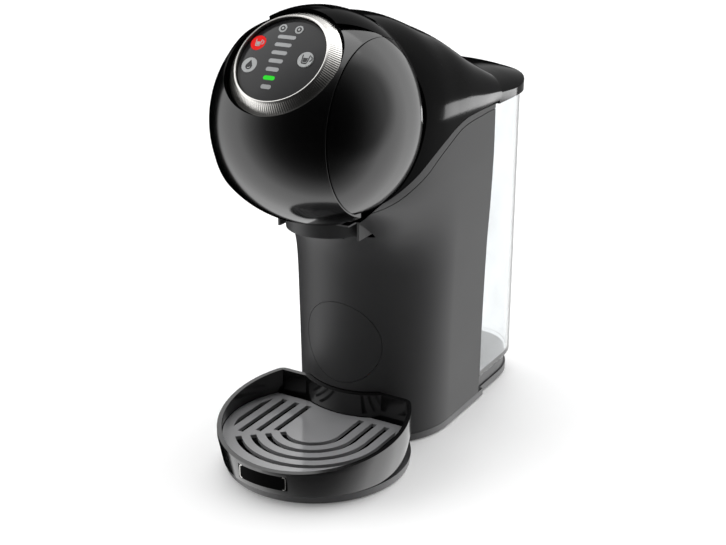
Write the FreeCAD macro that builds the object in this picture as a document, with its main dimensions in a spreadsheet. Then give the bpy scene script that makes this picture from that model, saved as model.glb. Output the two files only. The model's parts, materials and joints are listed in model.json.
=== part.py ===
import FreeCAD, Part
import math
import os
import Sketcher

# Pod coffee machine, millimetres. Origin at the middle of the footprint on the
# table, +Z up, front towards -Y, +X to the right when seen from the front.

V = FreeCAD.Vector
doc = FreeCAD.newDocument("PodCoffeeMachine")
sheet = doc.addObject("Spreadsheet::Sheet", "Sizes")

DIMENSIONS = [
    ("foot_radius", 7.0), ("foot_spread", 38.0),
    ("ring_radius", 59.0), ("ring_height", 6.0), ("ring_y", -71.5), ("ring_lip", 2.4),
    ("plate_low", 1.0),
    ("tray_radius", 61.25), ("tray_y", -75.25), ("tray_low", 6.6), ("tray_rim", 22.8),
    ("tray_rear_rim", 38.5), ("tray_taper", 3.0), ("tray_wall", 2.6), ("tray_back", -38.0), ("tray_corner", 7.0),
    ("grid_radius", 58.0), ("grid_thick", 2.4), ("grid_top", 21.8),
    ("slot_width", 3.9), ("slot_pitch", 9.4), ("slot_first", 20.0), ("slot_limit", 51.5),
    ("column_y", 8.0), ("column_rear", 54.0), 
    ("column_wall", 3.0), 
    ("cap_radius", 27.5), ("cap_z", 70.0), ("cap_depth", 4.0),
    ("head_y", -67.0), ("head_z", 221.0), ("head_radius", 66.0), ("head_half", 61.0),
    ("head_wall", 3.0), ("ball_radius", 62.0), ("ball_half", 70.0),
    ("face_y", -88.0), ("face_z", 229.0), ("face_radius", 52.5),
    ("slice_half", 38.2), ("seam_gap", 0.5),
    ("lever_low", 163.4), ("hinge_y", -46.0), ("hinge_z", 276.0), ("hinge_radius", 2.0),
    ("knuckle_radius", 7.7), ("lever_rear", -38.0), 
    ("panel_y", -104.05), ("panel_z", 263.74), ("panel_tilt", 46.3), ("panel_radius", 27.2),
    ("panel_thick", 3.0), ("panel_dome", 140.0), ("dial_outer", 34.4), ("dial_depth", 7.4),
    ("dial_bore", 27.5), ("seat_radius", 36.0), ("seat_depth", 12.0), ("icon_shift", -2.0),
    ("bar_thick", 2.6), ("bar_pitch", 5.35), ("bar_top", 13.8), ("bar_longest", 12.0),
    ("bar_step", 0.87), ("disc_radius", 4.8), ("option_radius", 2.6), 
    ("chamber_y", -54.0), ("chamber_bore", 24.6), ("chamber_wall", 2.4), ("chamber_low", 164.0),
    ("chamber_top", 186.0), ("guide_radius", 2.0), ("guide_spread", 18.0), ("guide_fit", 0.08),
    ("holder_low", 151.0), ("holder_top", 162.6), ("holder_half", 27.0), 
    ("holder_rear", -27.0), ("cup_bore", 23.0), ("cup_floor", 3.0), 
    ("tank_front", 56.4), ("tank_half", 52.0), ("tank_tip", 136.0), ("tank_low", 16.5),
    ("tank_top", 208.8), ("tank_wall", 2.4), ("tank_middle", 84.0), ("tank_corner", 3.0),
    ("lid_front", 66.4), ("lid_low", 209.2), ("lid_half", 55.0), ("lid_tip", 134.4),
    ("lid_axis_y", 134.4), ("lid_axis_z", 211.6),
    ("lid_barrel", 2.1), ("lid_pin", 0.9), ("dock_top", 16.0), ("dock_tip", 132.0),
    ("valve_radius", 6.0), ("inlet_radius", 6.0), ("valve_y", 84.0),
    ("pump_radius", 17.0), ("pump_length", 62.0), ("block_radius", 24.0), ("block_height", 34.0),
    ("board_width", 70.0), ("board_height", 90.0), ("board_thick", 1.6),
]
for row, (alias, number) in enumerate(DIMENSIONS, start=1):
    sheet.set("A%d" % row, alias)
    sheet.set("B%d" % row, str(number))
    sheet.setAlias("B%d" % row, alias)
doc.recompute()

nodes = []


def size(alias):
    """Present value of one cell of the sheet."""
    return float(sheet.get(alias))


def node(obj, label):
    """Name a finished sub-part; the label becomes its file name."""
    obj.Label = label
    nodes.append(obj)
    return obj


def place(obj, at=("0", "0", "0"), turn=None):
    """Put an object at expressions of the sheet, turned about one axis."""
    if turn:
        obj.Placement = FreeCAD.Placement(V(0, 0, 0), FreeCAD.Rotation(V(*turn[0]), turn[1]))
    for axis, term in zip("xyz", at):
        if term != "0":
            obj.setExpression("Placement.Base.%s" % axis, term)
    return obj


def solid(kind, name, at=("0", "0", "0"), turn=None, **terms):
    """A Part primitive whose sizes are expressions of the sheet."""
    obj = doc.addObject("Part::" + kind, name)
    for prop, term in terms.items():
        obj.setExpression(prop, term)
    return place(obj, at, turn)


def box(name, low, high):
    """Box between two corners, each given as three expressions."""
    spans = ["(%s) - (%s)" % (top, bottom) for bottom, top in zip(low, high)]
    return solid("Box", name, low, Length=spans[0], Width=spans[1], Height=spans[2])


def fuse(name, *parts):
    obj = doc.addObject("Part::MultiFuse", name)
    obj.Shapes = list(parts)
    return obj


def cut(name, base, *tools):
    """Base minus every tool."""
    obj = doc.addObject("Part::Cut", name)
    obj.Base = base
    obj.Tool = tools[0] if len(tools) == 1 else fuse(name + "Tools", *tools)
    return obj


def common(name, first, second):
    obj = doc.addObject("Part::Common", name)
    obj.Base = first
    obj.Tool = second
    return obj


def shaped(name, shape):
    """A free-form solid made with Part's own functions."""
    obj = doc.addObject("Part::Feature", name)
    obj.Shape = shape
    return obj


def origin_plane(body, role):
    return [item for item in body.Origin.OriginFeatures if item.Role == role][0]


def disc_body(name, radius, length, at=("0", "0", "0"), turn=None, bore=None):
    """PartDesign body: a padded circle, with a pocketed hole if it has a bore."""
    body = doc.addObject("PartDesign::Body", name)
    pad = body.newObject("PartDesign::Pad", name + "Pad")
    pad.Profile = circle_sketch(body, name + "Sketch", radius)
    pad.setExpression("Length", length)
    if bore:
        pocket = body.newObject("PartDesign::Pocket", name + "Bore")
        pocket.Profile = circle_sketch(body, name + "BoreSketch", bore)
        pocket.Type = "ThroughAll"
        pocket.Reversed = True
    return place(body, at, turn)


def circle_sketch(body, name, radius):
    sketch = body.newObject("Sketcher::SketchObject", name)
    sketch.AttachmentSupport = [(origin_plane(body, "XY_Plane"), "")]
    sketch.MapMode = "FlatFace"
    edge = sketch.addGeometry(Part.Circle(V(0, 0, 0), V(0, 0, 1), 5), False)
    sketch.addConstraint(Sketcher.Constraint("Coincident", edge, 3, -1, 1))
    spot = sketch.addConstraint(Sketcher.Constraint("Radius", edge, 5.0))
    sketch.renameConstraint(spot, "radius")
    sketch.setExpression("Constraints.radius", radius)
    return sketch


def plate_body(name, width, depth, height, at=("0", "0", "0"), turn=None, corner=None):
    """PartDesign body: a centred rectangular pad with rounded upright edges."""
    body = doc.addObject("PartDesign::Body", name)
    sketch = body.newObject("Sketcher::SketchObject", name + "Sketch")
    sketch.AttachmentSupport = [(origin_plane(body, "XY_Plane"), "")]
    sketch.MapMode = "FlatFace"
    corners = [V(-5, -5, 0), V(5, -5, 0), V(5, 5, 0), V(-5, 5, 0)]
    for start, end in zip(corners, corners[1:] + corners[:1]):
        sketch.addGeometry(Part.LineSegment(start, end), False)
    for side in range(4):
        sketch.addConstraint(Sketcher.Constraint("Coincident", side, 2, (side + 1) % 4, 1))
        sketch.addConstraint(Sketcher.Constraint("Vertical" if side % 2 else "Horizontal", side))
    sketch.addConstraint(Sketcher.Constraint("Symmetric", 0, 1, 1, 2, -1, 1))
    for side, tag, term in ((0, "width", width), (1, "depth", depth)):
        spot = sketch.addConstraint(Sketcher.Constraint("Distance", side, 10.0))
        sketch.renameConstraint(spot, tag)
        sketch.setExpression("Constraints." + tag, term)
    pad = body.newObject("PartDesign::Pad", name + "Pad")
    pad.Profile = sketch
    pad.setExpression("Length", height)
    if corner:
        doc.recompute()
        uprights = []
        for number, edge in enumerate(pad.Shape.Edges, start=1):
            if abs(edge.tangentAt(edge.FirstParameter).z) > 0.99:
                uprights.append("Edge%d" % number)
        rounding = body.newObject("PartDesign::Fillet", name + "Fillet")
        rounding.Base = (pad, uprights)
        rounding.setExpression("Radius", corner)
    return place(body, at, turn)


# ---- free-form outlines, each worked out from the sheet -------------------

def bulge(half, start, tip, power, count=13):
    """Points from (half, start) round to (-half, start) by way of (0, tip)."""
    points = []
    for step in range(count):
        angle = math.pi * step / (count - 1)
        across = math.copysign(abs(math.cos(angle)) ** (2.0 / power), math.cos(angle))
        along = abs(math.sin(angle)) ** (2.0 / power)
        points.append((half * across, start + (tip - start) * along))
    return points


def bulge_wire(half, start, tip, back, power, lift):
    """Closed outline: a bulge joined by straight sides to a straight back.

    lift turns a pair of outline coordinates into a point in space.
    """
    points = [lift(*pair) for pair in bulge(half, start, tip, power)]
    heading = (lift(half, tip) - lift(half, start)).normalize()
    curve = Part.BSplineCurve()
    curve.interpolate(Points=points, InitialTangent=heading, FinalTangent=heading * -1)
    sides = Part.makePolygon([points[-1], lift(-half, back), lift(half, back), points[0]])
    return Part.Wire([curve.toShape()] + sides.Edges)


def plan_loft(levels, start, back):
    """Upright loft of plan outlines; each level is z, half width, tip and power."""
    wires = []
    for z, half, tip, power in levels:
        wires.append(bulge_wire(half, start, tip, back, power, lambda a, b, z=z: V(a, b, z)))
    return Part.makeLoft(wires, True, True)


def arch_loft(frames, spring, foot):
    """Loft along Y of upright arches; each frame is y, half width, crown and power."""
    wires = []
    for y, half, crown, power in frames:
        wires.append(bulge_wire(half, spring, crown, foot, power, lambda a, b, y=y: V(a, y, b)))
    return Part.makeLoft(wires, True, True)


def side_curve_prism(points, roof, half=90.0):
    """Bar along X: everything between a smooth side-view curve and a height."""
    curve = Part.BSplineCurve()
    curve.interpolate([V(-half, y, z) for y, z in points])
    first = V(-half, points[0][0], roof)
    last = V(-half, points[-1][0], roof)
    rest = Part.makePolygon([curve.EndPoint, last, first, curve.StartPoint])
    face = Part.Face(Part.Wire([curve.toShape()] + rest.Edges))
    return face.extrude(V(2 * half, 0, 0))


def cuboid(x0, y0, z0, x1, y1, z1):
    return Part.makeBox(x1 - x0, y1 - y0, z1 - z0, V(x0, y0, z0))


def barrel(radius, y, z, half=90.0):
    """Round bar along X."""
    return Part.makeCylinder(radius, 2 * half, V(-half, y, z), V(1, 0, 0))


def hull(radius, half, grow=0.0):
    """Head outline: an ellipse turned about the X axis through the head's centre."""
    centre = V(0, size("head_y"), size("head_z"))
    tall = V(0, 0, radius + grow)
    wide = V(half + grow, 0, 0)
    if half > radius:
        ellipse = Part.Ellipse(centre + wide, centre + tall, centre)
        arc = Part.ArcOfEllipse(ellipse, 0.0, math.pi)
    else:
        ellipse = Part.Ellipse(centre + tall, centre + wide, centre)
        arc = Part.ArcOfEllipse(ellipse, -math.pi / 2, math.pi / 2)
    edge = arc.toShape()
    axle = Part.LineSegment(arc.EndPoint, arc.StartPoint).toShape()
    return Part.Face(Part.Wire([edge, axle])).revolve(centre, V(1, 0, 0), 360)


def ring_at(radius, inner, height, x, y, z):
    return Part.makeCylinder(radius, height, V(x, y, z)).cut(
        Part.makeCylinder(inner, height, V(x, y, z)))


HEAD_Y = size("head_y")
HEAD_Z = size("head_z")
GAP = size("seam_gap")
WALL = size("column_wall")

# Side view of the joint between the matte body and the gloss hood.
SHOULDER_LINE = [(-112, 175.6), (-91, 174.9), (-75, 177), (-60, 182.3), (-44, 189),
                 (-30.6, 196), (-16.5, 202.5), (0, 208.6), (17, 211.8), (54, 212.2), (70, 212.2)]

# Body outlines, bottom to top: z, half width, front and squareness.
COLUMN_STATIONS = [(120, 55.4, -46.0, 2.0), (136, 56.3, -49.0, 2.1), (148, 56.9, -56.5, 2.25),
                   (158, 57.3, -69.0, 2.4), (166, 57.6, -83.0, 2.5), (173, 57.8, -95.0, 2.6),
                   (180, 58.0, -103.0, 2.6), (216, 58.0, -106.0, 2.6)]

# Hood outlines from the head back to the lid: y, half width, crown and squareness.
HOOD_STATIONS = [(-80, 42.8, 283.0, 2.1), (-64, 50.0, 283.0, 2.1), (-40, 55.4, 280.5, 2.15),
                 (-17, 57.7, 277.0, 2.2), (3, 58.0, 269.5, 2.3), (20, 58.0, 262.0, 2.4),
                 (43, 57.6, 248.0, 2.5), (66, 56.6, 234.6, 2.7)]
LID_STATIONS = [(64, 57.6, 234.8, 2.2), (78, 57.6, 232.4, 2.15), (90, 57.6, 230.6, 2.1),
                (104, 57.6, 228.4, 2.05), (118, 57.6, 225.6, 2.0), (130, 57.6, 222.0, 2.0),
                (138, 57.6, 218.0, 2.0)]


def smooth_stations(stations, fine):
    """Many stations along a smooth curve through a few given ones."""
    paths = []
    for column in (1, 2, 3):
        path = Part.BSplineCurve()
        path.interpolate([V(entry[0], entry[column], 0) for entry in stations])
        paths.append(path)
    first, last = stations[0][0], stations[-1][0]
    found = []
    for step in range(fine + 1):
        at = first + (last - first) * step / fine
        line = Part.LineSegment(V(at, -500, 0), V(at, 500, 0))
        values = [path.intersectCC(line)[0].Y for path in paths]
        found.append((at, *values))
    return found


COLUMN_LEVELS = [(6.4, 52.8, -45.0, 2.0)] + smooth_stations(COLUMN_STATIONS, 16)
HOOD_FRAMES = smooth_stations(HOOD_STATIONS, 13)
LID_FRAMES = smooth_stations(LID_STATIONS, 8)


def inset(levels, wall):
    return [(z, half - wall, tip + wall, power) for z, half, tip, power in levels]


# ---- base ------------------------------------------------------------------

ring_disc = solid("Cone", "RingDisc", ("0", "Sizes.ring_y", "Sizes.plate_low"),
                  Radius1="Sizes.ring_radius", Radius2="Sizes.ring_radius + 0.6",
                  Height="Sizes.ring_height - Sizes.plate_low")
ring_well = solid("Cylinder", "RingWell", ("0", "Sizes.ring_y", "Sizes.ring_height - Sizes.ring_lip"),
                  Radius="Sizes.ring_radius - 9", Height="Sizes.ring_lip + 1")
ring_heel = box("RingHeel", ("-60", "-30", "0"), ("60", "60", "20"))
node(cut("BaseRing", ring_disc, ring_well, ring_heel), "base_ring")

base_plan = plan_loft([(1.0, 52.4, -44.6, 2.0), (6.0, 52.6, -44.8, 2.0)], size("column_y"), 62.0)
base_plan = base_plan.cut(cuboid(-70, -60, 0, 70, -30, 20))
dock_foot = bulge_wire(50.0, 84.0, size("dock_tip"), 61.0, 3.0, lambda a, b: V(a, b, 1.0))
dock_slab = Part.Face(dock_foot).extrude(V(0, 0, 5.0))
node(shaped("BasePlate", base_plan.fuse(dock_slab).removeSplitter()), "base_plate")

feet = []
for spot, (across, along) in enumerate([(1, -100), (-1, -100), (1, -10), (-1, -10), (1, 105), (-1, 105)]):
    foot = solid("Cylinder", "Foot%d" % spot, ("%d * Sizes.foot_spread" % across, str(along), "0"),
                 Radius="Sizes.foot_radius", Height="Sizes.plate_low")
    feet.append(foot)
node(fuse("RubberFeet", *feet), "rubber_feet")

RIM_FALL = math.degrees(math.atan2(size("tray_rear_rim") - size("tray_rim"), size("tray_back") + 136.5))


def above_rim(lift):
    """Everything above the sloping rim of the drip tray, raised by a gap."""
    room = cuboid(-90, 0, 0, 90, 200, 60)
    room.rotate(V(0, 0, 0), V(1, 0, 0), RIM_FALL)
    room.translate(V(0, size("tray_y") - size("tray_radius"), size("tray_rim") + lift))
    return room


# ---- matte column and its shoulder under the head -----------------------------

tray_way = cuboid(-90, -140, 0, 90, size("tray_back") + 0.4, 60).cut(above_rim(0.5))
column_body = plan_loft(COLUMN_LEVELS, size("column_y"), size("column_rear"))
column_body = column_body.common(side_curve_prism(SHOULDER_LINE, -20.0))
column_body = column_body.cut(hull(size("head_radius"), size("head_half"), GAP))
column_room = plan_loft(inset(COLUMN_LEVELS, WALL), size("column_y"), size("column_rear") - WALL)
column_room = column_room.cut(cuboid(-90, -120, 138, 90, -28, 300)).cut(cuboid(-90, -120, 0, 90, -34.4, 46))
holder_way = cuboid(-29.3, -120.0, 147.6, 29.3, -24.0, 300.0)
spout_way = cuboid(-9.8, -120.0, 144.3, 9.8, -44.4, 150.0)
column_body = column_body.cut(column_room).cut(holder_way).cut(spout_way).cut(tray_way)
cap_hole = Part.makeCylinder(size("cap_radius") + 0.3, 40, V(0, -60, size("cap_z")), V(0, 1, 0))
cap_lug = Part.makeCylinder(size("cap_radius") - 4.0, 40, V(0, -60, size("cap_z")), V(0, 1, 0))
cap_band = plan_loft(inset(COLUMN_LEVELS, size("cap_depth"))[:2], size("column_y"), 50)
cap_cut = cap_hole.cut(cap_band)
inlet_way = Part.makeCylinder(size("inlet_radius"), 30, V(-70, 40, 18), V(1, 0, 0))
node(shaped("ColumnShell", column_body.cut(cap_cut).cut(cap_lug).cut(inlet_way)), "column_shell")

cap_skin = plan_loft(COLUMN_LEVELS[:2], size("column_y"), 50).cut(cap_band)
cap_disc = Part.makeCylinder(size("cap_radius"), 40, V(0, -60, size("cap_z")), V(0, 1, 0))
node(shaped("ColumnCap", cap_skin.common(cap_disc)), "column_cap")

# ---- gloss hood, side domes and the frame inside the head ----------------------

head_solid = hull(size("head_radius"), size("head_half"))
head_room = hull(size("head_radius"), size("head_half"), -size("head_wall"))
face_bar = barrel(size("face_radius"), size("face_y"), size("face_z"))
inner_frames = [(y, half - WALL, crown - WALL, power) for y, half, crown, power in HOOD_FRAMES]
hood_inner = arch_loft(inner_frames, 214.0, 140.0).common(cuboid(-80, -90, 0, 80, 63.0, 400))
hood_solid = arch_loft(HOOD_FRAMES, 214.0, 150.0)
hood_solid = hood_solid.fuse(head_solid)
hood_solid = hood_solid.cut(side_curve_prism([(y, z + 0.25) for y, z in SHOULDER_LINE], 100.0))
lever_zone = cuboid(-38.7, -140, 100, 38.7, size("hinge_y") + 0.2, 300)
hinge_room = barrel(8.2, size("hinge_y"), size("hinge_z"), 38.7)
hinge_zone = hinge_room.common(cuboid(-50, -60, 275.5, 50, -30, 300)).fuse(
    hinge_room.common(cuboid(-22, -60, 273.0, 22, -30, 276)))
hood_solid = hood_solid.cut(head_room).cut(hood_inner).cut(face_bar).cut(lever_zone).cut(hinge_zone)
hood_solid = hood_solid.cut(cuboid(-80, -140, 100, 80, -66.0, 200).common(cuboid(-80, -140, 100, 80, -100, 200)))
node(shaped("YokeHood", max(hood_solid.Solids, key=lambda item: item.Volume)), "yoke_hood")

dome_shell = head_solid.cut(head_room).common(
    barrel(size("face_radius") - 0.3, size("face_y"), size("face_z")))
left_dome = dome_shell.common(cuboid(-80, -150, 100, -38.7, 20, 300))
node(shaped("SideDomeLeft", left_dome), "side_dome_left")
node(shaped("SideDomeRight", left_dome.mirror(V(0, 0, 0), V(1, 0, 0))), "side_dome_right")

frame_disc = barrel(47.0, HEAD_Y, HEAD_Z)
frame_disc = frame_disc.cut(cuboid(-90, -200, 100, 90, 50, 187.0)).cut(face_bar.cut(barrel(51.0, -88, 229)))
frame_sides = []
for side in (-1, 1):
    low, high = sorted((side * 39.0, side * 41.4))
    frame_sides.append(frame_disc.common(cuboid(low, -200, 100, high, 50, 300)).common(
        hull(size("head_radius"), size("head_half"), -size("head_wall") - 0.4)))
node(shaped("HeadFrame", Part.Compound(frame_sides)), "head_frame")

bulkhead = box("Bulkhead", ("-36", "-24.5", "166"), ("36", "-22", "262"))
node(bulkhead, "head_bulkhead")

# ---- hinge ---------------------------------------------------------------------

HINGE = ("-16", "Sizes.hinge_y", "Sizes.hinge_z")
ALONG_X = ((0, 1, 0), 90)
pin = solid("Cylinder", "HingePin", HINGE, ALONG_X, Radius="Sizes.hinge_radius", Height="32")
node(pin, "hinge_pin")
brackets = []
for side in (-1, 1):
    eye = solid("Cylinder", "BracketEye%d" % side, ("%g" % (side * 12.5 - 2.5), "Sizes.hinge_y", "Sizes.hinge_z"),
                ALONG_X, Radius="3.6", Height="5")
    arm = solid("Box", "BracketArm%d" % side, ("%g" % (side * 12.5 - 2.5), "Sizes.hinge_y - 3.4", "258"),
                Length="5", Width="6.8", Height="Sizes.hinge_z - 258")
    tie = solid("Box", "BracketTie%d" % side, ("%g" % (side * 12.5 - 2.5), "Sizes.hinge_y - 3.4", "252"),
                Length="5", Width="21.5 + 3.4", Height="6")
    brackets += [eye, arm, tie]
pin_way = solid("Cylinder", "PinWay", HINGE, ALONG_X, Radius="Sizes.hinge_radius", Height="32")
node(cut("LeverBracket", fuse("BracketSolid", *brackets), pin_way), "lever_bracket")

# ---- locking lever: the middle slice of the head -----------------------------------

HALF = size("slice_half")
LEVER_LOW = size("lever_low")
slab = cuboid(-HALF, -150, LEVER_LOW, HALF, size("lever_rear"), 300)
above_pin = cuboid(-90, size("hinge_y"), size("hinge_z"), 90, 20, 320).cut(
    barrel(size("knuckle_radius"), size("hinge_y"), size("hinge_z")))
below_pin = cuboid(-90, size("hinge_y") - 0.3, 100, 90, 20, size("hinge_z") + 3.0)
grip_room = cuboid(-90, -66, 100, 90, 20, 240)
ball_solid = hull(size("ball_radius"), size("ball_half"))
ball_room = hull(size("ball_radius"), size("ball_half"), -size("head_wall"))
face_inner = barrel(size("face_radius") - 0.4, size("face_y"), size("face_z"))
lower_part = cuboid(-90, -150, 100, 90, -60, 221)

seat_axis = FreeCAD.Placement(V(0, size("panel_y"), size("panel_z")), FreeCAD.Rotation(V(1, 0, 0), size("panel_tilt")))


def on_panel(shape):
    """Carry a shape drawn about the panel's own axes to its place on the lever."""
    moved = shape.copy()
    moved.transformShape(seat_axis.toMatrix())
    return moved


dial_hole = on_panel(Part.makeCylinder(size("seat_radius") + 0.05, 60, V(0, 0, -size("seat_depth"))))
chamber_way = cuboid(-90, -81.6, 100, 90, 20, 187.0)
shell_region = slab.cut([dial_hole, grip_room, chamber_way]).common(face_inner.fuse(lower_part))
shell = ball_solid.common(shell_region).cut(ball_room)
lip = hull(size("ball_radius") + 0.6, size("ball_half") + 6.0).cut(hull(size("ball_radius") - 3, size("ball_half")))
lip = lip.common(cuboid(-30, -96, LEVER_LOW, 30, -82, LEVER_LOW + 2.4))
shell = shell.fuse(lip)
node(shaped("LeverShell", max(shell.Solids, key=lambda item: item.Volume)), "lever_shell")

badge_lens = Part.makeCylinder(11.0, 4.0).common(Part.makeSphere(30.0, V(0, 0, -27.2)))
stretch = FreeCAD.Matrix()
stretch.scale(1.0, 0.5, 1.0)
badge_lens = badge_lens.transformGeometry(stretch)
badge_lens = badge_lens.common(cuboid(-20, -20, 0.0, 20, 20, 4))
bracket_room = cuboid(-17, size("hinge_y") - 4.4, 240, 17, 0, size("hinge_z") + 4.2)
band_slab = slab.cut([dial_hole, barrel(size("face_radius"), size("face_y"), size("face_z")), above_pin,
                      below_pin, cuboid(-90, -160, 100, 90, 20, 240), bracket_room])
band = hull(size("head_radius"), size("head_half")).common(band_slab)
band = band.cut(hull(size("head_radius"), size("head_half"), -size("head_wall") - 1.6))
for side in (-1, 1):
    near, far = sorted((side * 21.4, side * 60.0))
    band = band.cut(cuboid(near, size("hinge_y") - 0.3, 240, far, 20, 300))
knuckle = Part.makeCylinder(4.0, 17.0, V(-8.5, size("hinge_y"), size("hinge_z")), V(1, 0, 0))
web = cuboid(-8.5, size("hinge_y") - 20, size("hinge_z") - 2.0, 8.5, size("hinge_y"), size("hinge_z") + 6.0).common(
    hull(size("head_radius"), size("head_half"), -2.0))
pin_bore = barrel(size("hinge_radius") + 0.06, size("hinge_y"), size("hinge_z"))
band = band.fuse([knuckle, web]).cut(pin_bore)
BADGE_SEAT = FreeCAD.Placement(V(0, HEAD_Y + 1.0, HEAD_Z + size("head_radius") - 3.0), FreeCAD.Rotation())
badge_pocket = badge_lens.copy()
badge_pocket.transformShape(BADGE_SEAT.toMatrix())
band = band.cut(badge_pocket)
node(shaped("LeverTopBand", max(band.Solids, key=lambda item: item.Volume)), "lever_top_band")

badge = node(shaped("LeverBadge", badge_lens), "lever_badge")
badge.Placement = BADGE_SEAT

frame_ring = barrel(58.0, HEAD_Y, HEAD_Z).cut(barrel(50.0, HEAD_Y, HEAD_Z))
frame_ring = frame_ring.common(cuboid(-90, -150, LEVER_LOW + 1, 90, -66, 300))
frame_ring = frame_ring.cut(hull(size("ball_radius"), size("ball_half"), -size("head_wall") - 0.3).cut(
    hull(size("ball_radius"), size("ball_half"), -size("head_wall") - 12)).cut(barrel(80, 0, 0, 30)))
arms = []
for side in (-1, 1):
    inner, outer = sorted((side * 28.0, side * 31.0))
    arm = barrel(57.0, HEAD_Y, HEAD_Z).cut(barrel(48.0, HEAD_Y, HEAD_Z))
    arm = arm.common(cuboid(inner, -150, LEVER_LOW + 3, outer, size("hinge_y") - 8, 274))
    arms.append(arm.common(ball_room).common(hull(size("head_radius"), size("head_half"), -5.0)).cut(on_panel(Part.makeCylinder(45, 60, V(0, 0, -14)))))
node(shaped("LeverFrame", Part.Compound([arm for arm in arms])), "lever_frame")

# ---- dial, panel and keys, all drawn about the panel's axis ---------------------------



def beside_panel(obj, across, along, depth):
    """Place an object at panel coordinates: across X, up the slope, and out of it."""
    spot = seat_axis.multVec(V(across, along, depth))
    obj.Placement = FreeCAD.Placement(spot, seat_axis.Rotation)
    return obj


dial_cup = solid("Cylinder", "DialCup", Radius="Sizes.seat_radius", Height="Sizes.seat_depth - Sizes.dial_depth - 1")
dial_seat = fuse("DialSeat",
                 cut("SeatDisc", dial_cup, solid("Cylinder", "SeatBore", Radius="10", Height="20")),
                 cut("SeatNeck", solid("Cylinder", "NeckRod", Radius="Sizes.dial_bore - 0.3",
                                       Height="Sizes.seat_depth - Sizes.panel_thick - 1.2"),
                     solid("Cylinder", "NeckBore", Radius="Sizes.dial_bore - 1.3", Height="20")))
beside_panel(node(dial_seat, "dial_seat"), 0, 0, -size("seat_depth"))

skirt = solid("Cone", "DialSkirt", Radius1="Sizes.dial_outer", Radius2="Sizes.dial_bore + 1.0",
              Height="Sizes.dial_depth")
skirt_bore = solid("Cylinder", "DialBore", Radius="Sizes.dial_bore", Height="Sizes.dial_depth + 1")
dial = beside_panel(node(cut("DialRing", skirt, skirt_bore), "dial_ring"), 0, 0, -size("dial_depth"))

KEYS = [("start_button", -17.0, 8.5, "disc_radius"), ("cold_button", -16.4, -6.2, "disc_radius"),
        ("hot_button", 17.6, 1.2, "disc_radius"), ("strength_button", -5.4, 19.6, "option_radius"),
        ("warmth_button", 5.4, 19.6, "option_radius")]
shift = size("icon_shift")
dome_drop = size("panel_dome") - size("panel_thick")
panel = Part.makeCylinder(size("panel_radius"), size("panel_thick")).common(
    Part.makeSphere(size("panel_dome"), V(0, 0, -dome_drop)))
for label, across, along, radius in KEYS:
    panel = panel.cut(Part.makeCylinder(size(radius) + 0.15, 9, V(across + shift, along, -1)))
bars = []
for count in range(7):
    length = size("bar_longest") - count * size("bar_step")
    thick = size("bar_thick")
    middle = size("bar_top") - count * size("bar_pitch")
    slot = Part.makeBox(length - thick, thick, 6, V((thick - length) / 2 + shift, middle - thick / 2, -0.5))
    for end in (-1, 1):
        slot = slot.fuse(Part.makeCylinder(thick / 2, 6, V(end * (length - thick) / 2 + shift, middle, -0.5)))
    bars.append(slot.removeSplitter())
dome = Part.makeSphere(size("panel_dome"), V(0, 0, -dome_drop - 0.05))
for slot in bars:
    panel = panel.cut(slot)
beside_panel(node(shaped("ControlPanel", panel), "control_panel"), 0, 0, -size("panel_thick"))
lit = 5
windows = [slot.common(dome).common(Part.makeCylinder(30, 6)) for slot in bars]
plain = [shape for count, shape in enumerate(windows) if count != lit]
beside_panel(node(shaped("LevelBars", Part.Compound(plain)), "level_bars"), 0, 0, -size("panel_thick"))
beside_panel(node(shaped("LevelBarLit", windows[lit]), "level_bar_lit"), 0, 0, -size("panel_thick"))
board = disc_body("PanelBoard", "Sizes.panel_radius - 3.4", "1.2", bore="2")
beside_panel(node(board, "panel_board"), 0, 0, -size("panel_thick") - 4.2)
for label, across, along, radius in KEYS:
    name = label.title().replace("_", "")
    key = disc_body(name, "Sizes." + radius, "Sizes.panel_thick")
    fall = size("panel_dome") - math.sqrt(size("panel_dome") ** 2 - (across + shift) ** 2 - along ** 2)
    beside_panel(node(key, label), across + shift, along, 0.25 - fall - size("panel_thick"))

# ---- brewing chamber, injector and capsule holder --------------------------------------

CHAMBER = ("0", "Sizes.chamber_y", "Sizes.chamber_low")
chamber = disc_body("BrewChamber", "Sizes.chamber_bore + Sizes.chamber_wall",
                    "Sizes.chamber_top - Sizes.chamber_low", CHAMBER, bore="Sizes.chamber_bore")
node(chamber, "brew_chamber")
rods = []
for side in (-1, 1):
    spread = "%d * Sizes.guide_spread" % side
    rods.append(solid("Cylinder", "GuideRod%d" % side, (spread, "Sizes.chamber_y", "Sizes.chamber_top + 5.6"),
                      Radius="Sizes.guide_radius", Height="32.4"))
top_bar = box("GuideBridge", ("-24", "Sizes.chamber_y - 4", "Sizes.chamber_top + 38"),
              ("24", "Sizes.chamber_y + 29.5", "Sizes.chamber_top + 42"))
rail_back = box("GuideBack", ("-24", "-26.8", "168.6"), ("24", "-24.5", "Sizes.chamber_top + 42"))
node(fuse("InjectorGuides", rail_back, top_bar, *rods), "injector_guides")
plate_disc = solid("Cylinder", "InjectorDisc", ("0", "Sizes.chamber_y", "Sizes.chamber_top - 12"),
                   Radius="Sizes.chamber_bore - 0.6", Height="5")
plate_neck = solid("Cylinder", "InjectorNeck", ("0", "Sizes.chamber_y", "Sizes.chamber_top - 8"),
                   Radius="9", Height="16")
cross_head = box("CrossHead", ("-23", "Sizes.chamber_y - 5", "Sizes.chamber_top + 7.6"),
                 ("23", "Sizes.chamber_y + 5", "Sizes.chamber_top + 13"))
rod_holes = []
for side in (-1, 1):
    spread = "%d * Sizes.guide_spread" % side
    rod_holes.append(solid("Cylinder", "RodHole%d" % side, (spread, "Sizes.chamber_y", "Sizes.chamber_top"),
                           Radius="Sizes.guide_radius + Sizes.guide_fit", Height="40"))
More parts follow.
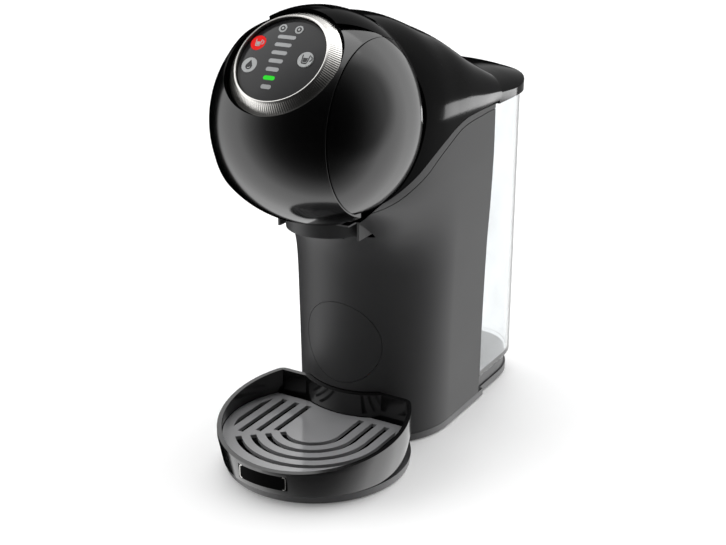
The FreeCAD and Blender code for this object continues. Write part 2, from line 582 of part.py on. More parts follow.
needle_hole = solid("Cylinder", "NeedleHole", ("0", "Sizes.chamber_y", "Sizes.chamber_top - 20"),
                    Radius="1.4", Height="50")
injector = cut("InjectorPlate", fuse("InjectorSolid", plate_disc, plate_neck, cross_head), needle_hole, *rod_holes)
node(injector, "injector_plate")
needle_rod = solid("Cylinder", "NeedleRod", ("0", "Sizes.chamber_y", "Sizes.chamber_top - 16.5"),
                   Radius="1.4", Height="22")
needle_tip = solid("Cone", "NeedleTip", ("0", "Sizes.chamber_y", "Sizes.chamber_top - 20"),
                   Radius1="0.3", Radius2="1.4", Height="3.5")
node(fuse("InjectorNeedle", needle_rod, needle_tip), "injector_needle")

holder_slab = box("HolderSlab", ("-Sizes.holder_half", "Sizes.chamber_y", "Sizes.holder_low + 1.5"),
                  ("Sizes.holder_half", "Sizes.holder_rear", "Sizes.holder_top"))
holder_nose = solid("Cylinder", "HolderNose", ("0", "Sizes.chamber_y", "Sizes.holder_low + 1.5"),
                    Radius="Sizes.holder_half", Height="Sizes.holder_top - Sizes.holder_low - 1.5")
cup_hollow = solid("Cylinder", "CupHollow", ("0", "Sizes.chamber_y", "Sizes.holder_low + Sizes.cup_floor"),
                   Radius="Sizes.cup_bore", Height="30")
cup_drain = solid("Cylinder", "CupDrain", ("0", "Sizes.chamber_y", "Sizes.holder_low - 5"),
                  Radius="3.2", Height="30")
holder_plan = fuse("HolderPlan", holder_slab, holder_nose)
node(cut("CapsuleHolder", holder_plan, cup_hollow, cup_drain), "capsule_holder")
spout_wall = solid("Cone", "SpoutWall", ("0", "Sizes.chamber_y", "Sizes.holder_low - 6"),
                   Radius1="6", Radius2="9", Height="7.5")
spout_bore = solid("Cone", "SpoutBore", ("0", "Sizes.chamber_y", "Sizes.holder_low - 7"),
                   Radius1="4", Radius2="5.5", Height="10")
node(cut("HolderSpout", spout_wall, spout_bore), "holder_spout")
rails = []
for side in (-1, 1):
    edge = "%d * Sizes.holder_half" % side
    low_side = edge + " + 0.35" if side > 0 else edge + " - 1.9"
    high_side = edge + " + 1.9" if side > 0 else edge + " - 0.35"
    rails.append(box("HolderRail%d" % side, (low_side, "-68", "151"), (high_side, "-26", "Sizes.chamber_low")))
rails.append(box("RailBridge", ("-28.9", "-80", "Sizes.holder_top + 0.35"), ("28.9", "-26", "Sizes.chamber_low")))
rails.append(box("RailBack", ("-28.9", "-26.4", "151"), ("28.9", "-24.8", "Sizes.chamber_low + 4")))
rail_hole = solid("Cylinder", "RailHole", ("0", "Sizes.chamber_y", "150"), Radius="Sizes.chamber_bore", Height="30")
node(cut("HolderRails", fuse("RailFrame", *rails), rail_hole), "holder_rails")

# ---- water tank, its lid and its valve -----------------------------------------------------

TANK_POWER = size("tank_corner")


def tank_plan(shrink, low, high, front=None):
    """Upright solid with the tank's outline, drawn in by a wall."""
    front = size("tank_front") + shrink if front is None else front
    outline = bulge_wire(size("tank_half") - shrink, size("tank_middle"), size("tank_tip") - 1.6 - shrink,
                         front, TANK_POWER, lambda a, b: V(a, b, low))
    return Part.Face(outline).extrude(V(0, 0, high - low))


tank_shell = tank_plan(0, size("tank_low"), size("tank_top"))
tank_shell = tank_shell.cut(tank_plan(size("tank_wall"), size("tank_low") + 3.0, size("tank_top") + 1))
valve_hole = Part.makeCylinder(size("valve_radius") + 1.2, 20, V(0, size("valve_y"), size("tank_low") - 5))
valve_collar = ring_at(size("valve_radius") + 4.0, size("valve_radius") + 1.2, 8.0, 0, size("valve_y"), size("tank_low"))
node(shaped("TankBody", tank_shell.cut(valve_hole).fuse(valve_collar)), "tank_body")

stem = solid("Cylinder", "ValveStem", ("0", "Sizes.valve_y", "Sizes.tank_low - 0.2"),
             Radius="2.2", Height="12")
head = solid("Cylinder", "ValveHead", ("0", "Sizes.valve_y", "Sizes.tank_low + 10.5"),
             Radius="Sizes.valve_radius", Height="2.5")
node(fuse("TankValve", stem, head), "tank_valve")

lid_plan = bulge_wire(size("lid_half"), size("tank_middle"), size("lid_tip"), size("lid_front"),
                      TANK_POWER, lambda a, b: V(a, b, size("lid_low")))
lid_bar = Part.Face(lid_plan).extrude(V(0, 0, 40))
lid_solid = lid_bar.common(arch_loft(LID_FRAMES, 207.0, 190.0))
lid_inner = [(y, half - 2.4, crown - 2.4, power) for y, half, crown, power in LID_FRAMES]
lid_hollow = arch_loft(lid_inner, 207.0, 180.0).common(tank_plan(1.0, 200, 260, size("lid_front") + 2.4))
lid_solid = lid_solid.cut(lid_hollow)
lid_y = size("lid_axis_y")
lid_z = size("lid_axis_z")
for side in (-1, 1):
    near, far = sorted((side * 15.6, side * 20.4))
    lid_solid = lid_solid.cut(cuboid(near, lid_y - 5.0, 200, far, lid_y + 5, lid_z + 3.4))
lid_knuckle = Part.makeCylinder(size("lid_barrel"), 31.2, V(-15.6, lid_y, lid_z), V(1, 0, 0))
lid_bore = barrel(size("lid_pin") + 0.06, lid_y, lid_z, 16)
node(shaped("TankLid", lid_solid.fuse(lid_knuckle).cut(lid_bore)), "tank_lid")
node(solid("Cylinder", "LidPin", ("-20", "Sizes.lid_axis_y", "Sizes.lid_axis_z"), ALONG_X,
           Radius="Sizes.lid_pin", Height="40"), "lid_hinge_pin")
ears = []
for side in (-1, 1):
    near, far = sorted((side * 16.0, side * 20.0))
    post = cuboid(near, lid_y - 2.4, size("tank_top") - 6, far, lid_y + 1.0, lid_z)
    eye = Part.makeCylinder(size("lid_barrel"), 4.0, V(near, lid_y, lid_z), V(1, 0, 0))
    ears.append(post.fuse(eye).cut(barrel(size("lid_pin"), lid_y, lid_z)).cut(tank_shell))
node(shaped("TankEars", Part.Compound(ears)), "tank_ears")

dock_plan = bulge_wire(size("tank_half") - 3, size("tank_middle"), size("dock_tip") - 3, 56.4, TANK_POWER,
                       lambda a, b: V(a, b, 6.0))
dock = Part.Face(dock_plan).extrude(V(0, 0, size("dock_top") - 6.0))
dock = dock.cut(Part.makeCylinder(size("valve_radius") + 2, 8, V(0, size("valve_y"), size("dock_top") - 4)))
node(shaped("TankDock", dock), "tank_dock")
seat = disc_body("ValveSeat", "Sizes.valve_radius + 1.5", "2.4",
                 ("0", "Sizes.valve_y", "Sizes.dock_top - 4"), bore="1.8")
node(seat, "tank_valve_seat")

# ---- pump, heater, water path and electronics inside the column ---------------------------

pump_pad_low = plate_body("PumpMountLower", "44", "40", "6", ("0", "14", "6.2"), corner="4")
node(pump_pad_low, "pump_mount_lower")
node(disc_body("PumpBody", "Sizes.pump_radius", "Sizes.pump_length", ("0", "14", "12.4")), "pump_body")
coil = plate_body("PumpCoil", "46", "46", "34", ("0", "14", "26"), corner="3")
coil_way = solid("Cylinder", "CoilWay", ("0", "14", "20"), Radius="Sizes.pump_radius", Height="60")
node(cut("PumpCoilRing", coil, coil_way), "pump_coil")
node(plate_body("PumpMountUpper", "44", "40", "5", ("0", "14", "74.6"), corner="4"), "pump_mount_upper")
heater_core = solid("Cylinder", "HeaterCore", ("0", "10", "96"), Radius="Sizes.block_radius",
                    Height="Sizes.block_height")
heater_coil = solid("Torus", "HeaterCoil", ("0", "10", "106"), Radius1="Sizes.block_radius", Radius2="3.6")
heater_coil_top = solid("Torus", "HeaterCoilTop", ("0", "10", "118"), Radius1="Sizes.block_radius", Radius2="3.6")
heater_well = solid("Cylinder", "HeaterWell", ("0", "10", "100"), Radius="12", Height="40")
node(cut("Thermoblock", fuse("HeaterSolid", heater_core, heater_coil, heater_coil_top), heater_well),
     "thermoblock")
node(disc_body("ThermalCutout", "7", "4", ("0", "10", "100")), "thermal_cutout")
heater_shelf = box("HeaterShelf", ("-40", "-18", "91"), ("40", "50.5", "96"))
shelf_way = solid("Cylinder", "ShelfWay", ("0", "10", "88"), Radius="12", Height="10")
hose_way = solid("Cylinder", "HoseWay", ("40", "32", "88"), Radius="3.4", Height="10")
node(cut("ShelfPlate", heater_shelf, shelf_way, hose_way), "heater_shelf")
meter_can = solid("Cylinder", "MeterCan", ("29", "32", "96.4"), Radius="7.8", Height="16")
meter_cap = solid("Cylinder", "MeterCap", ("29", "32", "112"), Radius="6", Height="5")
node(fuse("FlowMeter", meter_can, meter_cap), "flow_meter")


def hose(name, label, points, bend, radius):
    """Tube along straight runs joined by tangent arcs."""
    edges = []
    start = points[0]
    for corner, after in zip(points[1:-1], points[2:]):
        inward = (start - corner).normalize()
        outward = (after - corner).normalize()
        entry = corner + inward * bend
        leave = corner + outward * bend
        middle = corner + (inward + outward).normalize() * bend * 0.414
        edges.append(Part.LineSegment(start, entry).toShape())
        edges.append(Part.Arc(entry, middle, leave).toShape())
        start = leave
    edges.append(Part.LineSegment(start, points[-1]).toShape())
    path = Part.Wire(edges)
    heading = (points[1] - points[0]).normalize()
    ring = Part.Wire(Part.Circle(points[0], heading, radius).toShape())
    return node(shaped(name, path.makePipeShell([ring], True, True)), label)


hose("InletHose", "inlet_hose", [V(29, 32, 117.2), V(29, 32, 130), V(40, 32, 130), V(40, 32, 20)], 4.0, 2.6)
hose("OutletHose", "outlet_hose", [V(0, -3, 130.2), V(0, -3, 146), V(0, 6, 146), V(0, 6, 236)], 4.0, 2.6)
node(box("MainBoard", ("-Sizes.board_width / 2", "48.6", "112"),
         ("Sizes.board_width / 2", "48.6 + Sizes.board_thick", "112 + Sizes.board_height")), "main_board")
parts_on_board = []
for spot, (across, high, wide, tall, deep) in enumerate([(-20, 130, 16, 20, 12), (4, 126, 10, 26, 9),
                                                         (20, 160, 18, 12, 10), (-12, 172, 22, 8, 6)]):
    parts_on_board.append(solid("Box", "Component%d" % spot, (str(across - wide / 2), str(48.6 - deep), str(high)),
                                Length=str(wide), Width=str(deep), Height=str(tall)))
node(fuse("BoardComponents", *parts_on_board), "board_components")
node(disc_body("CordInlet", "Sizes.inlet_radius", "9", ("-56", "40", "18"), ALONG_X, bore="2.6"), "cord_inlet")

# ---- drip tray and grid ---------------------------------------------------------------------

tray_y = size("tray_y")
wall = size("tray_wall")
tray_low = size("tray_low")
taper_top = size("tray_rim")
tray_cone = Part.makeCone(size("tray_radius") - size("tray_taper"), size("tray_radius"), taper_top - tray_low,
                          V(0, tray_y, tray_low))
tray_solid = tray_cone.fuse(Part.makeCylinder(size("tray_radius"), 22, V(0, tray_y, taper_top)))
rim_cut = above_rim(0.0)
tray_outline = Part.makeCylinder(size("tray_radius"), 60, V(0, tray_y, 0)).cut(
    cuboid(-90, size("tray_back"), -5, 90, 60, 80))
rear_corners = [edge for edge in tray_outline.Edges
                if edge.BoundBox.ZLength > 59 and edge.BoundBox.YMin > size("tray_back") - 0.1]
tray_outline = tray_outline.makeFillet(size("tray_corner"), rear_corners)
tray_solid = tray_solid.cut(rim_cut).common(tray_outline)
column_wall = plan_loft([(z, half + 0.8 + wall, tip - 0.8 - wall, power) for z, half, tip, power in COLUMN_LEVELS],
                        size("column_y"), 60)
basin = Part.makeCylinder(size("grid_radius") - 2.4, 60, V(0, tray_y, tray_low + wall))
basin = basin.fuse(Part.makeCylinder(size("grid_radius") + 0.35, 60, V(0, tray_y, size("grid_top") - size("grid_thick"))))
basin = basin.cut(column_wall).cut(cuboid(-90, size("tray_back") - wall, -5, 90, 60, 80))
tray_solid = tray_solid.cut(basin)
label_recess = Part.makeCylinder(size("tray_radius") + 5, 10.0, V(0, tray_y, 10.5)).cut(
    Part.makeCylinder(size("tray_radius") - 1.9, 10.0, V(0, tray_y, 10.5))).common(
        cuboid(-17.5, -150, 5, 17.5, -100, 30))
node(shaped("DripTray", tray_solid.cut(label_recess)), "drip_tray")
label_skin = Part.makeCylinder(size("tray_radius") - 1.2, 9.4, V(0, tray_y, 10.8)).cut(
    Part.makeCylinder(size("tray_radius") - 1.9, 9.4, V(0, tray_y, 10.8))).common(
        cuboid(-17.2, -150, 5, 17.2, -100, 30))
node(shaped("TrayLabel", label_skin), "tray_label")

GRID_REAR_GAP = 3.4
grid_low = size("grid_top") - size("grid_thick")
grid = Part.makeCylinder(size("grid_radius"), size("grid_thick"), V(0, tray_y, grid_low))
grid_wall = plan_loft([(z, half + 1.3 + wall, tip - 1.3 - wall, power) for z, half, tip, power in COLUMN_LEVELS],
                      size("column_y"), 60)
grid = grid.cut(grid_wall).cut(cuboid(-90, size("tray_back") - wall - GRID_REAR_GAP, -5, 90, 60, 80))
half_slot = size("slot_width") / 2
rib_angle = 38.0
rib_half = 4.0
slot_rear = -50.0
front_half = cuboid(-90, -180, 0, 90, tray_y, 60)
rib_side = cuboid(-120, 0, 0, 0, 120, 60)
rib_side.rotate(V(0, 0, 0), V(0, 0, 1), rib_angle + rib_half)
rib_side.translate(V(0, tray_y, 0))
slot_field = Part.makeCylinder(size("slot_limit"), 60, V(0, tray_y, 0))
slot_cuts = []
for count in range(4):
    reach = size("slot_first") + count * size("slot_pitch")
    left_front = tray_y - reach * math.tan(math.radians(rib_angle - rib_half))
    left_slot = cuboid(-reach - half_slot, left_front, 0, -reach + half_slot, slot_rear, 60)
    right_slot = cuboid(reach - half_slot, tray_y - 0.1, 0, reach + half_slot, slot_rear, 60)
    ring_slot = ring_at(reach + half_slot, reach - half_slot, 60, 0, tray_y, 0)
    curved_slot = ring_slot.common(front_half.cut(rib_side)).fuse(right_slot)
    slot_cuts += [left_slot.common(slot_field), curved_slot.common(slot_field)]
grid = grid.cut(slot_cuts)
node(shaped("DripGrid", max(grid.Solids, key=lambda item: item.Volume)), "drip_grid")

case_screws = []
for side in (-1, 1):
    for along in (-20, 46):
        case_screws.append(solid("Cylinder", "Screw%d%d" % (side + 1, along + 20), (str(side * 30), str(along), "0.4"),
                                 Radius="2.6", Height="0.6"))
node(fuse("CaseScrews", *case_screws), "case_screws")

doc.recompute()
for item in doc.Objects:
    if "Invalid" in item.State or "Error" in item.State:
        raise RuntimeError("object %s is in state %s" % (item.Label, item.State))
for item in nodes:
    if item.Shape.isNull() or not item.Shape.isValid():
        raise RuntimeError("sub-part %s has no valid shape" % item.Label)

os.makedirs("parts", exist_ok=True)
for item in nodes:
    item.Shape.exportStep("parts/%s.step" % item.Label)
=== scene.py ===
import json
import math

import bmesh
import bpy
from mathutils import Matrix, Vector


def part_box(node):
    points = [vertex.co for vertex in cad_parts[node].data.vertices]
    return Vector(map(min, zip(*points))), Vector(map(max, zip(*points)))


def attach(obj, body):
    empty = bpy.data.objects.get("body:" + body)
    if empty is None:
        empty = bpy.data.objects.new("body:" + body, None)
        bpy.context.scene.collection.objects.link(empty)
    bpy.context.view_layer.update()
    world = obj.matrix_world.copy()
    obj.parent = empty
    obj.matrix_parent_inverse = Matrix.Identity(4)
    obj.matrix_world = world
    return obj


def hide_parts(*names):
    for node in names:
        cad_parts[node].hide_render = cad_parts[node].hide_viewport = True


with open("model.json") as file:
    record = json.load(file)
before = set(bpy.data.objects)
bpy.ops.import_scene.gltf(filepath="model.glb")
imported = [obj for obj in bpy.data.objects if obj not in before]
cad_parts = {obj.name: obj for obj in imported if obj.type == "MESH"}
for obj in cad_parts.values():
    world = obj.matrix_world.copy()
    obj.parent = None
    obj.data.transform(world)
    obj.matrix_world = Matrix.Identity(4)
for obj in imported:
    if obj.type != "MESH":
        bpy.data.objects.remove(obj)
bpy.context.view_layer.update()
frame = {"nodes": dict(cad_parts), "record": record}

# ---------------------------------------------------------------- the machine's main sizes, millimetres
# Everything is drawn in millimetres in the frame's own axes and brought to metres at the end.

MM = 0.001


def span(node):
    """Lowest and highest corner of a CAD node in millimetres."""
    low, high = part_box(node)
    return Vector(low) / MM, Vector(high) / MM


dome_low, dome_high = span("side_dome_right")
shell_high = span("lever_shell")[1]
tray_low, tray_high = span("drip_tray")
column_high = span("column_shell")[1]
tank_low, tank_high = span("tank_body")
lid_low, lid_high = span("tank_lid")

HEAD_HALF = dome_high.x
HEAD_RADIUS = 66.0
HEAD_Y = -67.0
HEAD_Z = 221.0
BALL_RADIUS = 62.0
BALL_HALF = 70.0
HEAD_WALL = 3.0
FACE_Y = -88.0
FACE_Z = 229.0
FACE_RADIUS = 52.5
SLICE_HALF = shell_high.x
SEAM = dome_low.x
LEVER_LOW = 163.4
HINGE_Y = -46.0
HINGE_Z = 276.0
PANEL = Vector((0.0, -104.05, 263.74))
PANEL_TILT = math.radians(46.3)
TRAY_Y = -75.25
TRAY_RADIUS = 61.25
COLUMN_Y = 8.0
TANK_MIDDLE = 84.0

panel_frame = Matrix.Translation(PANEL) @ Matrix.Rotation(PANEL_TILT, 4, "X")

# ---------------------------------------------------------------- camera

LENS = 64.72
CAMERA_TURN = math.radians(30.64)
CAMERA_RISE = math.radians(20.99)
CAMERA_REACH = 857.8
AIM = Vector((-6.46, -3.83, 103.05))

out = Vector((math.cos(CAMERA_RISE) * math.sin(CAMERA_TURN), -math.cos(CAMERA_RISE) * math.cos(CAMERA_TURN),
              math.sin(CAMERA_RISE)))
across = Vector((math.cos(CAMERA_TURN), math.sin(CAMERA_TURN), 0.0))
upward = out.cross(across)
camera_data = bpy.data.cameras.new("Camera")
camera_data.lens = LENS
camera_data.sensor_width = 36.0
camera = bpy.data.objects.new("Camera", camera_data)
bpy.context.scene.collection.objects.link(camera)
turn = Matrix((across, upward, out)).transposed().to_4x4()
camera.matrix_world = Matrix.Translation((AIM + out * CAMERA_REACH) * MM) @ turn
bpy.context.scene.camera = camera
bpy.context.scene.view_settings.view_transform = "Standard"

# ---------------------------------------------------------------- mesh tools


def mesh_object(name, verts, faces):
    mesh = bpy.data.meshes.new(name)
    mesh.from_pydata([tuple(v) for v in verts], [], faces)
    mesh.validate()
    obj = bpy.data.objects.new(name, mesh)
    bpy.context.scene.collection.objects.link(obj)
    return obj


def outward(obj):
    """Make the faces of a closed mesh look outwards."""
    mesh = bmesh.new()
    mesh.from_mesh(obj.data)
    bmesh.ops.recalc_face_normals(mesh, faces=mesh.faces)
    mesh.to_mesh(obj.data)
    mesh.free()
    return obj


def rings(name, loops, first_cap=True, last_cap=True, wrap=False):
    """Closed mesh through loops of the same number of points."""
    count = len(loops[0])
    verts = [point for loop in loops for point in loop]
    faces = []
    rows = len(loops) if wrap else len(loops) - 1
    for row in range(rows):
        here = row * count
        there = ((row + 1) % len(loops)) * count
        for spot in range(count):
            after = (spot + 1) % count
            faces.append((here + spot, here + after, there + after, there + spot))
    if not wrap:
        if first_cap:
            faces.append(tuple(reversed(range(count))))
        if last_cap:
            start = (len(loops) - 1) * count
            faces.append(tuple(range(start, start + count)))
    return outward(mesh_object(name, verts, faces))


def block(name, low, high):
    (x0, y0, z0), (x1, y1, z1) = low, high
    lower = [(x0, y0, z0), (x1, y0, z0), (x1, y1, z0), (x0, y1, z0)]
    upper = [(x, y, z1) for x, y, z in lower]
    return rings(name, [lower, upper])


def rod(name, radius, start, end, sides=128, radius_end=None):
    """Round bar or cone between two points."""
    start, end = Vector(start), Vector(end)
    radius_end = radius if radius_end is None else radius_end
    axis = (end - start).normalized()
    side = axis.orthogonal().normalized()
    third = axis.cross(side)
    loops = []
    for middle, reach in ((start, radius), (end, radius_end)):
        loops.append([middle + (side * math.cos(a) + third * math.sin(a)) * reach
                      for a in (math.tau * step / sides for step in range(sides))])
    return rings(name, loops)


def bar(name, radius, y, z, half=95.0, sides=256):
    return rod(name, radius, (-half, y, z), (half, y, z), sides)


def hull(name, radius, half, grow=0.0, segments=192, rows=96):
    """Ellipsoid about the X axis through the head's centre."""
    loops = []
    for row in range(1, rows):
        angle = math.pi * row / rows
        reach = (radius + grow) * math.sin(angle)
        x = -(half + grow) * math.cos(angle)
        loops.append([(x, HEAD_Y + reach * math.cos(a), HEAD_Z + reach * math.sin(a))
                      for a in (math.tau * (step + 0.5) / segments for step in range(segments))])
    return rings(name, loops)


def bulge(half, start, tip, power, count):
    points = []
    for step in range(count):
        angle = math.pi * step / (count - 1)
        sideways = math.copysign(abs(math.cos(angle)) ** (2.0 / power), math.cos(angle))
        points.append((half * sideways, start + (tip - start) * abs(math.sin(angle)) ** (2.0 / power)))
    return points


def smooth_value(stations, column, at):
    """Catmull-Rom value through the stations at a position."""
    spots = [entry[0] for entry in stations]
    last = len(spots) - 1
    seat = max(0, min(last - 1, sum(1 for spot in spots if spot <= at) - 1))
    t = (at - spots[seat]) / (spots[seat + 1] - spots[seat])

    def slope(index):
        low, high = max(index - 1, 0), min(index + 1, last)
        return (stations[high][column] - stations[low][column]) / (spots[high] - spots[low])

    width = spots[seat + 1] - spots[seat]
    p0, p1 = stations[seat][column], stations[seat + 1][column]
    m0, m1 = slope(seat) * width, slope(seat + 1) * width
    return ((2 * t ** 3 - 3 * t ** 2 + 1) * p0 + (t ** 3 - 2 * t ** 2 + t) * m0
            + (-2 * t ** 3 + 3 * t ** 2) * p1 + (t ** 3 - t ** 2) * m1)


def stations_at(stations, at):
    return tuple(smooth_value(stations, column, at) for column in (1, 2, 3))


def plan_solid(name, stations, back, wall=0.0, start=COLUMN_Y, fine=90, count=97, low=None, high=None):
    """Upright loft with a rounded front, from stations of z, half width, front and squareness."""
    low = stations[0][0] if low is None else low
    high = stations[-1][0] if high is None else high
    loops = []
    for step in range(fine + 1):
        z = low + (high - low) * step / fine
        half, tip, power = stations_at(stations, z)
        sense = 1.0 if tip < start else -1.0
        loop = [(x, y, z) for x, y in bulge(half - wall, start, tip + sense * wall, power, count)]
        rear = back - sense * wall
        for part in range(1, 13):
            loop.append((-half + wall, start + (rear - start) * part / 12.0, z))
        for part in range(1, 25):
            loop.append((-half + wall + 2 * (half - wall) * part / 24.0, rear, z))
        for part in range(1, 12):
            loop.append((half - wall, rear + (start - rear) * part / 12.0, z))
        loops.append(loop)
    return rings(name, loops)


def arch_solid(name, stations, spring, foot, wall=0.0, fine=90, count=97):
    """Loft along Y of upright arches, from stations of y, half width, crown and squareness."""
    loops = []
    for step in range(fine + 1):
        y = stations[0][0] + (stations[-1][0] - stations[0][0]) * step / fine
        half, crown, power = stations_at(stations, y)
        loop = [(x, y, z) for x, z in bulge(half - wall, spring, crown - wall, power, count)]
        for part in range(1, 13):
            loop.append((-half + wall, y, spring + (foot - spring) * part / 12.0))
        for part in range(1, 13):
            loop.append((-half + wall + 2 * (half - wall) * part / 12.0, y, foot))
        for part in range(1, 12):
            loop.append((half - wall, y, foot + (spring - foot) * part / 12.0))
        loops.append(loop)
    return rings(name, loops)


def side_prism(name, outline, half=95.0):
    """Bar along X with a side-view outline of (y, z) points."""
    return rings(name, [[(-half, y, z) for y, z in outline], [(half, y, z) for y, z in outline]])


def smooth_path(points, fine=12):
    """Catmull-Rom curve through (y, z) points whose y only grows."""
    found = []
    for step in range((len(points) - 1) * fine + 1):
        at = points[0][0] + (points[-1][0] - points[0][0]) * step / ((len(points) - 1) * fine)
        found.append((at, smooth_value(points, 1, at)))
    return found


def carve(target, how, *cutters, keep=False):
    """Apply exact booleans to a mesh; the cutters go away unless kept."""
    for cutter in cutters:
        step = target.modifiers.new("carve", "BOOLEAN")
        step.operation = how
        step.solver = "EXACT"
        step.object = cutter
        graph = bpy.context.evaluated_depsgraph_get()
        done = bpy.data.meshes.new_from_object(target.evaluated_get(graph))
        target.modifiers.clear()
        target.data = done
        if not keep:
            bpy.data.objects.remove(cutter)
    return target


def twin(obj, name=None):
    copy = obj.copy()
    copy.data = obj.data.copy()
    copy.name = name or obj.name + "Copy"
    bpy.context.scene.collection.objects.link(copy)
    return copy


def mirror(obj, name):
    """Copy mirrored to the other side of the middle plane."""
    copy = twin(obj, name)
    copy.data.transform(Matrix.Scale(-1, 4, Vector((1, 0, 0))))
    copy.data.flip_normals()
    return copy


def largest(obj):
    """Keep the largest connected part of a mesh."""
    mesh = bmesh.new()
    mesh.from_mesh(obj.data)
    mesh.verts.ensure_lookup_table()
    seen = set()
    groups = []
    for vert in mesh.verts:
        if vert.index in seen:
            continue
        group = []
        queue = [vert]
        seen.add(vert.index)
        while queue:
            here = queue.pop()
            group.append(here)
            for edge in here.link_edges:
                other = edge.other_vert(here)
                if other.index not in seen:
                    seen.add(other.index)
                    queue.append(other)
        groups.append(group)
    groups.sort(key=len, reverse=True)
    spare = [vert for group in groups[1:] for vert in group]
    bmesh.ops.delete(mesh, geom=spare, context="VERTS")
    mesh.to_mesh(obj.data)
    mesh.free()
    return obj


def finish_piece(obj, body, material, slot, *nodes, edge=0.35, angle=32.0, segments=2):
    """Bring a drawn piece to metres, round its edges, and hand it to its body."""
    obj.data.transform(Matrix.Scale(MM, 4))
    mesh = bmesh.new()
    mesh.from_mesh(obj.data)
    bmesh.ops.remove_doubles(mesh, verts=mesh.verts, dist=0.00001)
    bmesh.ops.dissolve_degenerate(mesh, edges=mesh.edges, dist=0.00001)
    mesh.to_mesh(obj.data)
    mesh.free()
    obj.data.polygons.foreach_set("use_smooth", [True] * len(obj.data.polygons))
    obj.data.set_sharp_from_angle(angle=math.radians(angle))
    if edge:
        rounding = obj.modifiers.new("edge", "BEVEL")
        rounding.limit_method = "ANGLE"
        rounding.angle_limit = math.radians(angle)
        rounding.width = edge * MM
        rounding.segments = segments
        rounding.harden_normals = True
        rounding.use_clamp_overlap = True
    obj.data.materials.clear()
    obj.data.materials.append(material)
    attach(obj, body)
    if nodes:
        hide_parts(*nodes)
    return obj

# ---------------------------------------------------------------- materials


def material(name, base, rough, **sockets):
    """Principled material with fine colour, roughness and surface variation."""
    colour_swing = sockets.pop("colour_swing", 0.06)
    rough_swing = sockets.pop("rough_swing", 0.04)
    grain = sockets.pop("grain", 900.0)
    bump = sockets.pop("bump", 0.02)
    depth = sockets.pop("depth", 0.0002)
    made = bpy.data.materials.new(name)
    made.use_nodes = True
    nodes = made.node_tree.nodes
    links = made.node_tree.links
    shader = nodes["Principled BSDF"]
    place = nodes.new("ShaderNodeTexCoord")
    cloud = nodes.new("ShaderNodeTexNoise")
    cloud.inputs["Scale"].default_value = 22.0
    cloud.inputs["Detail"].default_value = 6.0
    links.new(place.outputs["Object"], cloud.inputs["Vector"])
    ramp = nodes.new("ShaderNodeValToRGB")
    low = [max(0.0, channel * (1.0 - colour_swing)) for channel in base]
    high = [min(1.0, channel * (1.0 + colour_swing)) for channel in base]
    ramp.color_ramp.elements[0].position = 0.3
    ramp.color_ramp.elements[1].position = 0.7
    ramp.color_ramp.elements[0].color = (*low, 1.0)
    ramp.color_ramp.elements[1].color = (*high, 1.0)
    links.new(cloud.outputs["Fac"], ramp.inputs["Fac"])
    links.new(ramp.outputs["Color"], shader.inputs["Base Color"])
    fine = nodes.new("ShaderNodeTexNoise")
    fine.inputs["Scale"].default_value = grain
    fine.inputs["Detail"].default_value = 3.0
    links.new(place.outputs["Object"], fine.inputs["Vector"])
    reach = nodes.new("ShaderNodeMapRange")
    reach.inputs["To Min"].default_value = max(0.0, rough - rough_swing)
    reach.inputs["To Max"].default_value = min(1.0, rough + rough_swing)
    links.new(cloud.outputs["Fac"], reach.inputs["Value"])
    links.new(reach.outputs["Result"], shader.inputs["Roughness"])
    relief = nodes.new("ShaderNodeBump")
    relief.inputs["Strength"].default_value = bump
    relief.inputs["Distance"].default_value = depth
    links.new(fine.outputs["Fac"], relief.inputs["Height"])
    links.new(relief.outputs["Normal"], shader.inputs["Normal"])
    for socket, value in sockets.items():
        shader.inputs[socket.replace("_", " ")].default_value = value
    return made


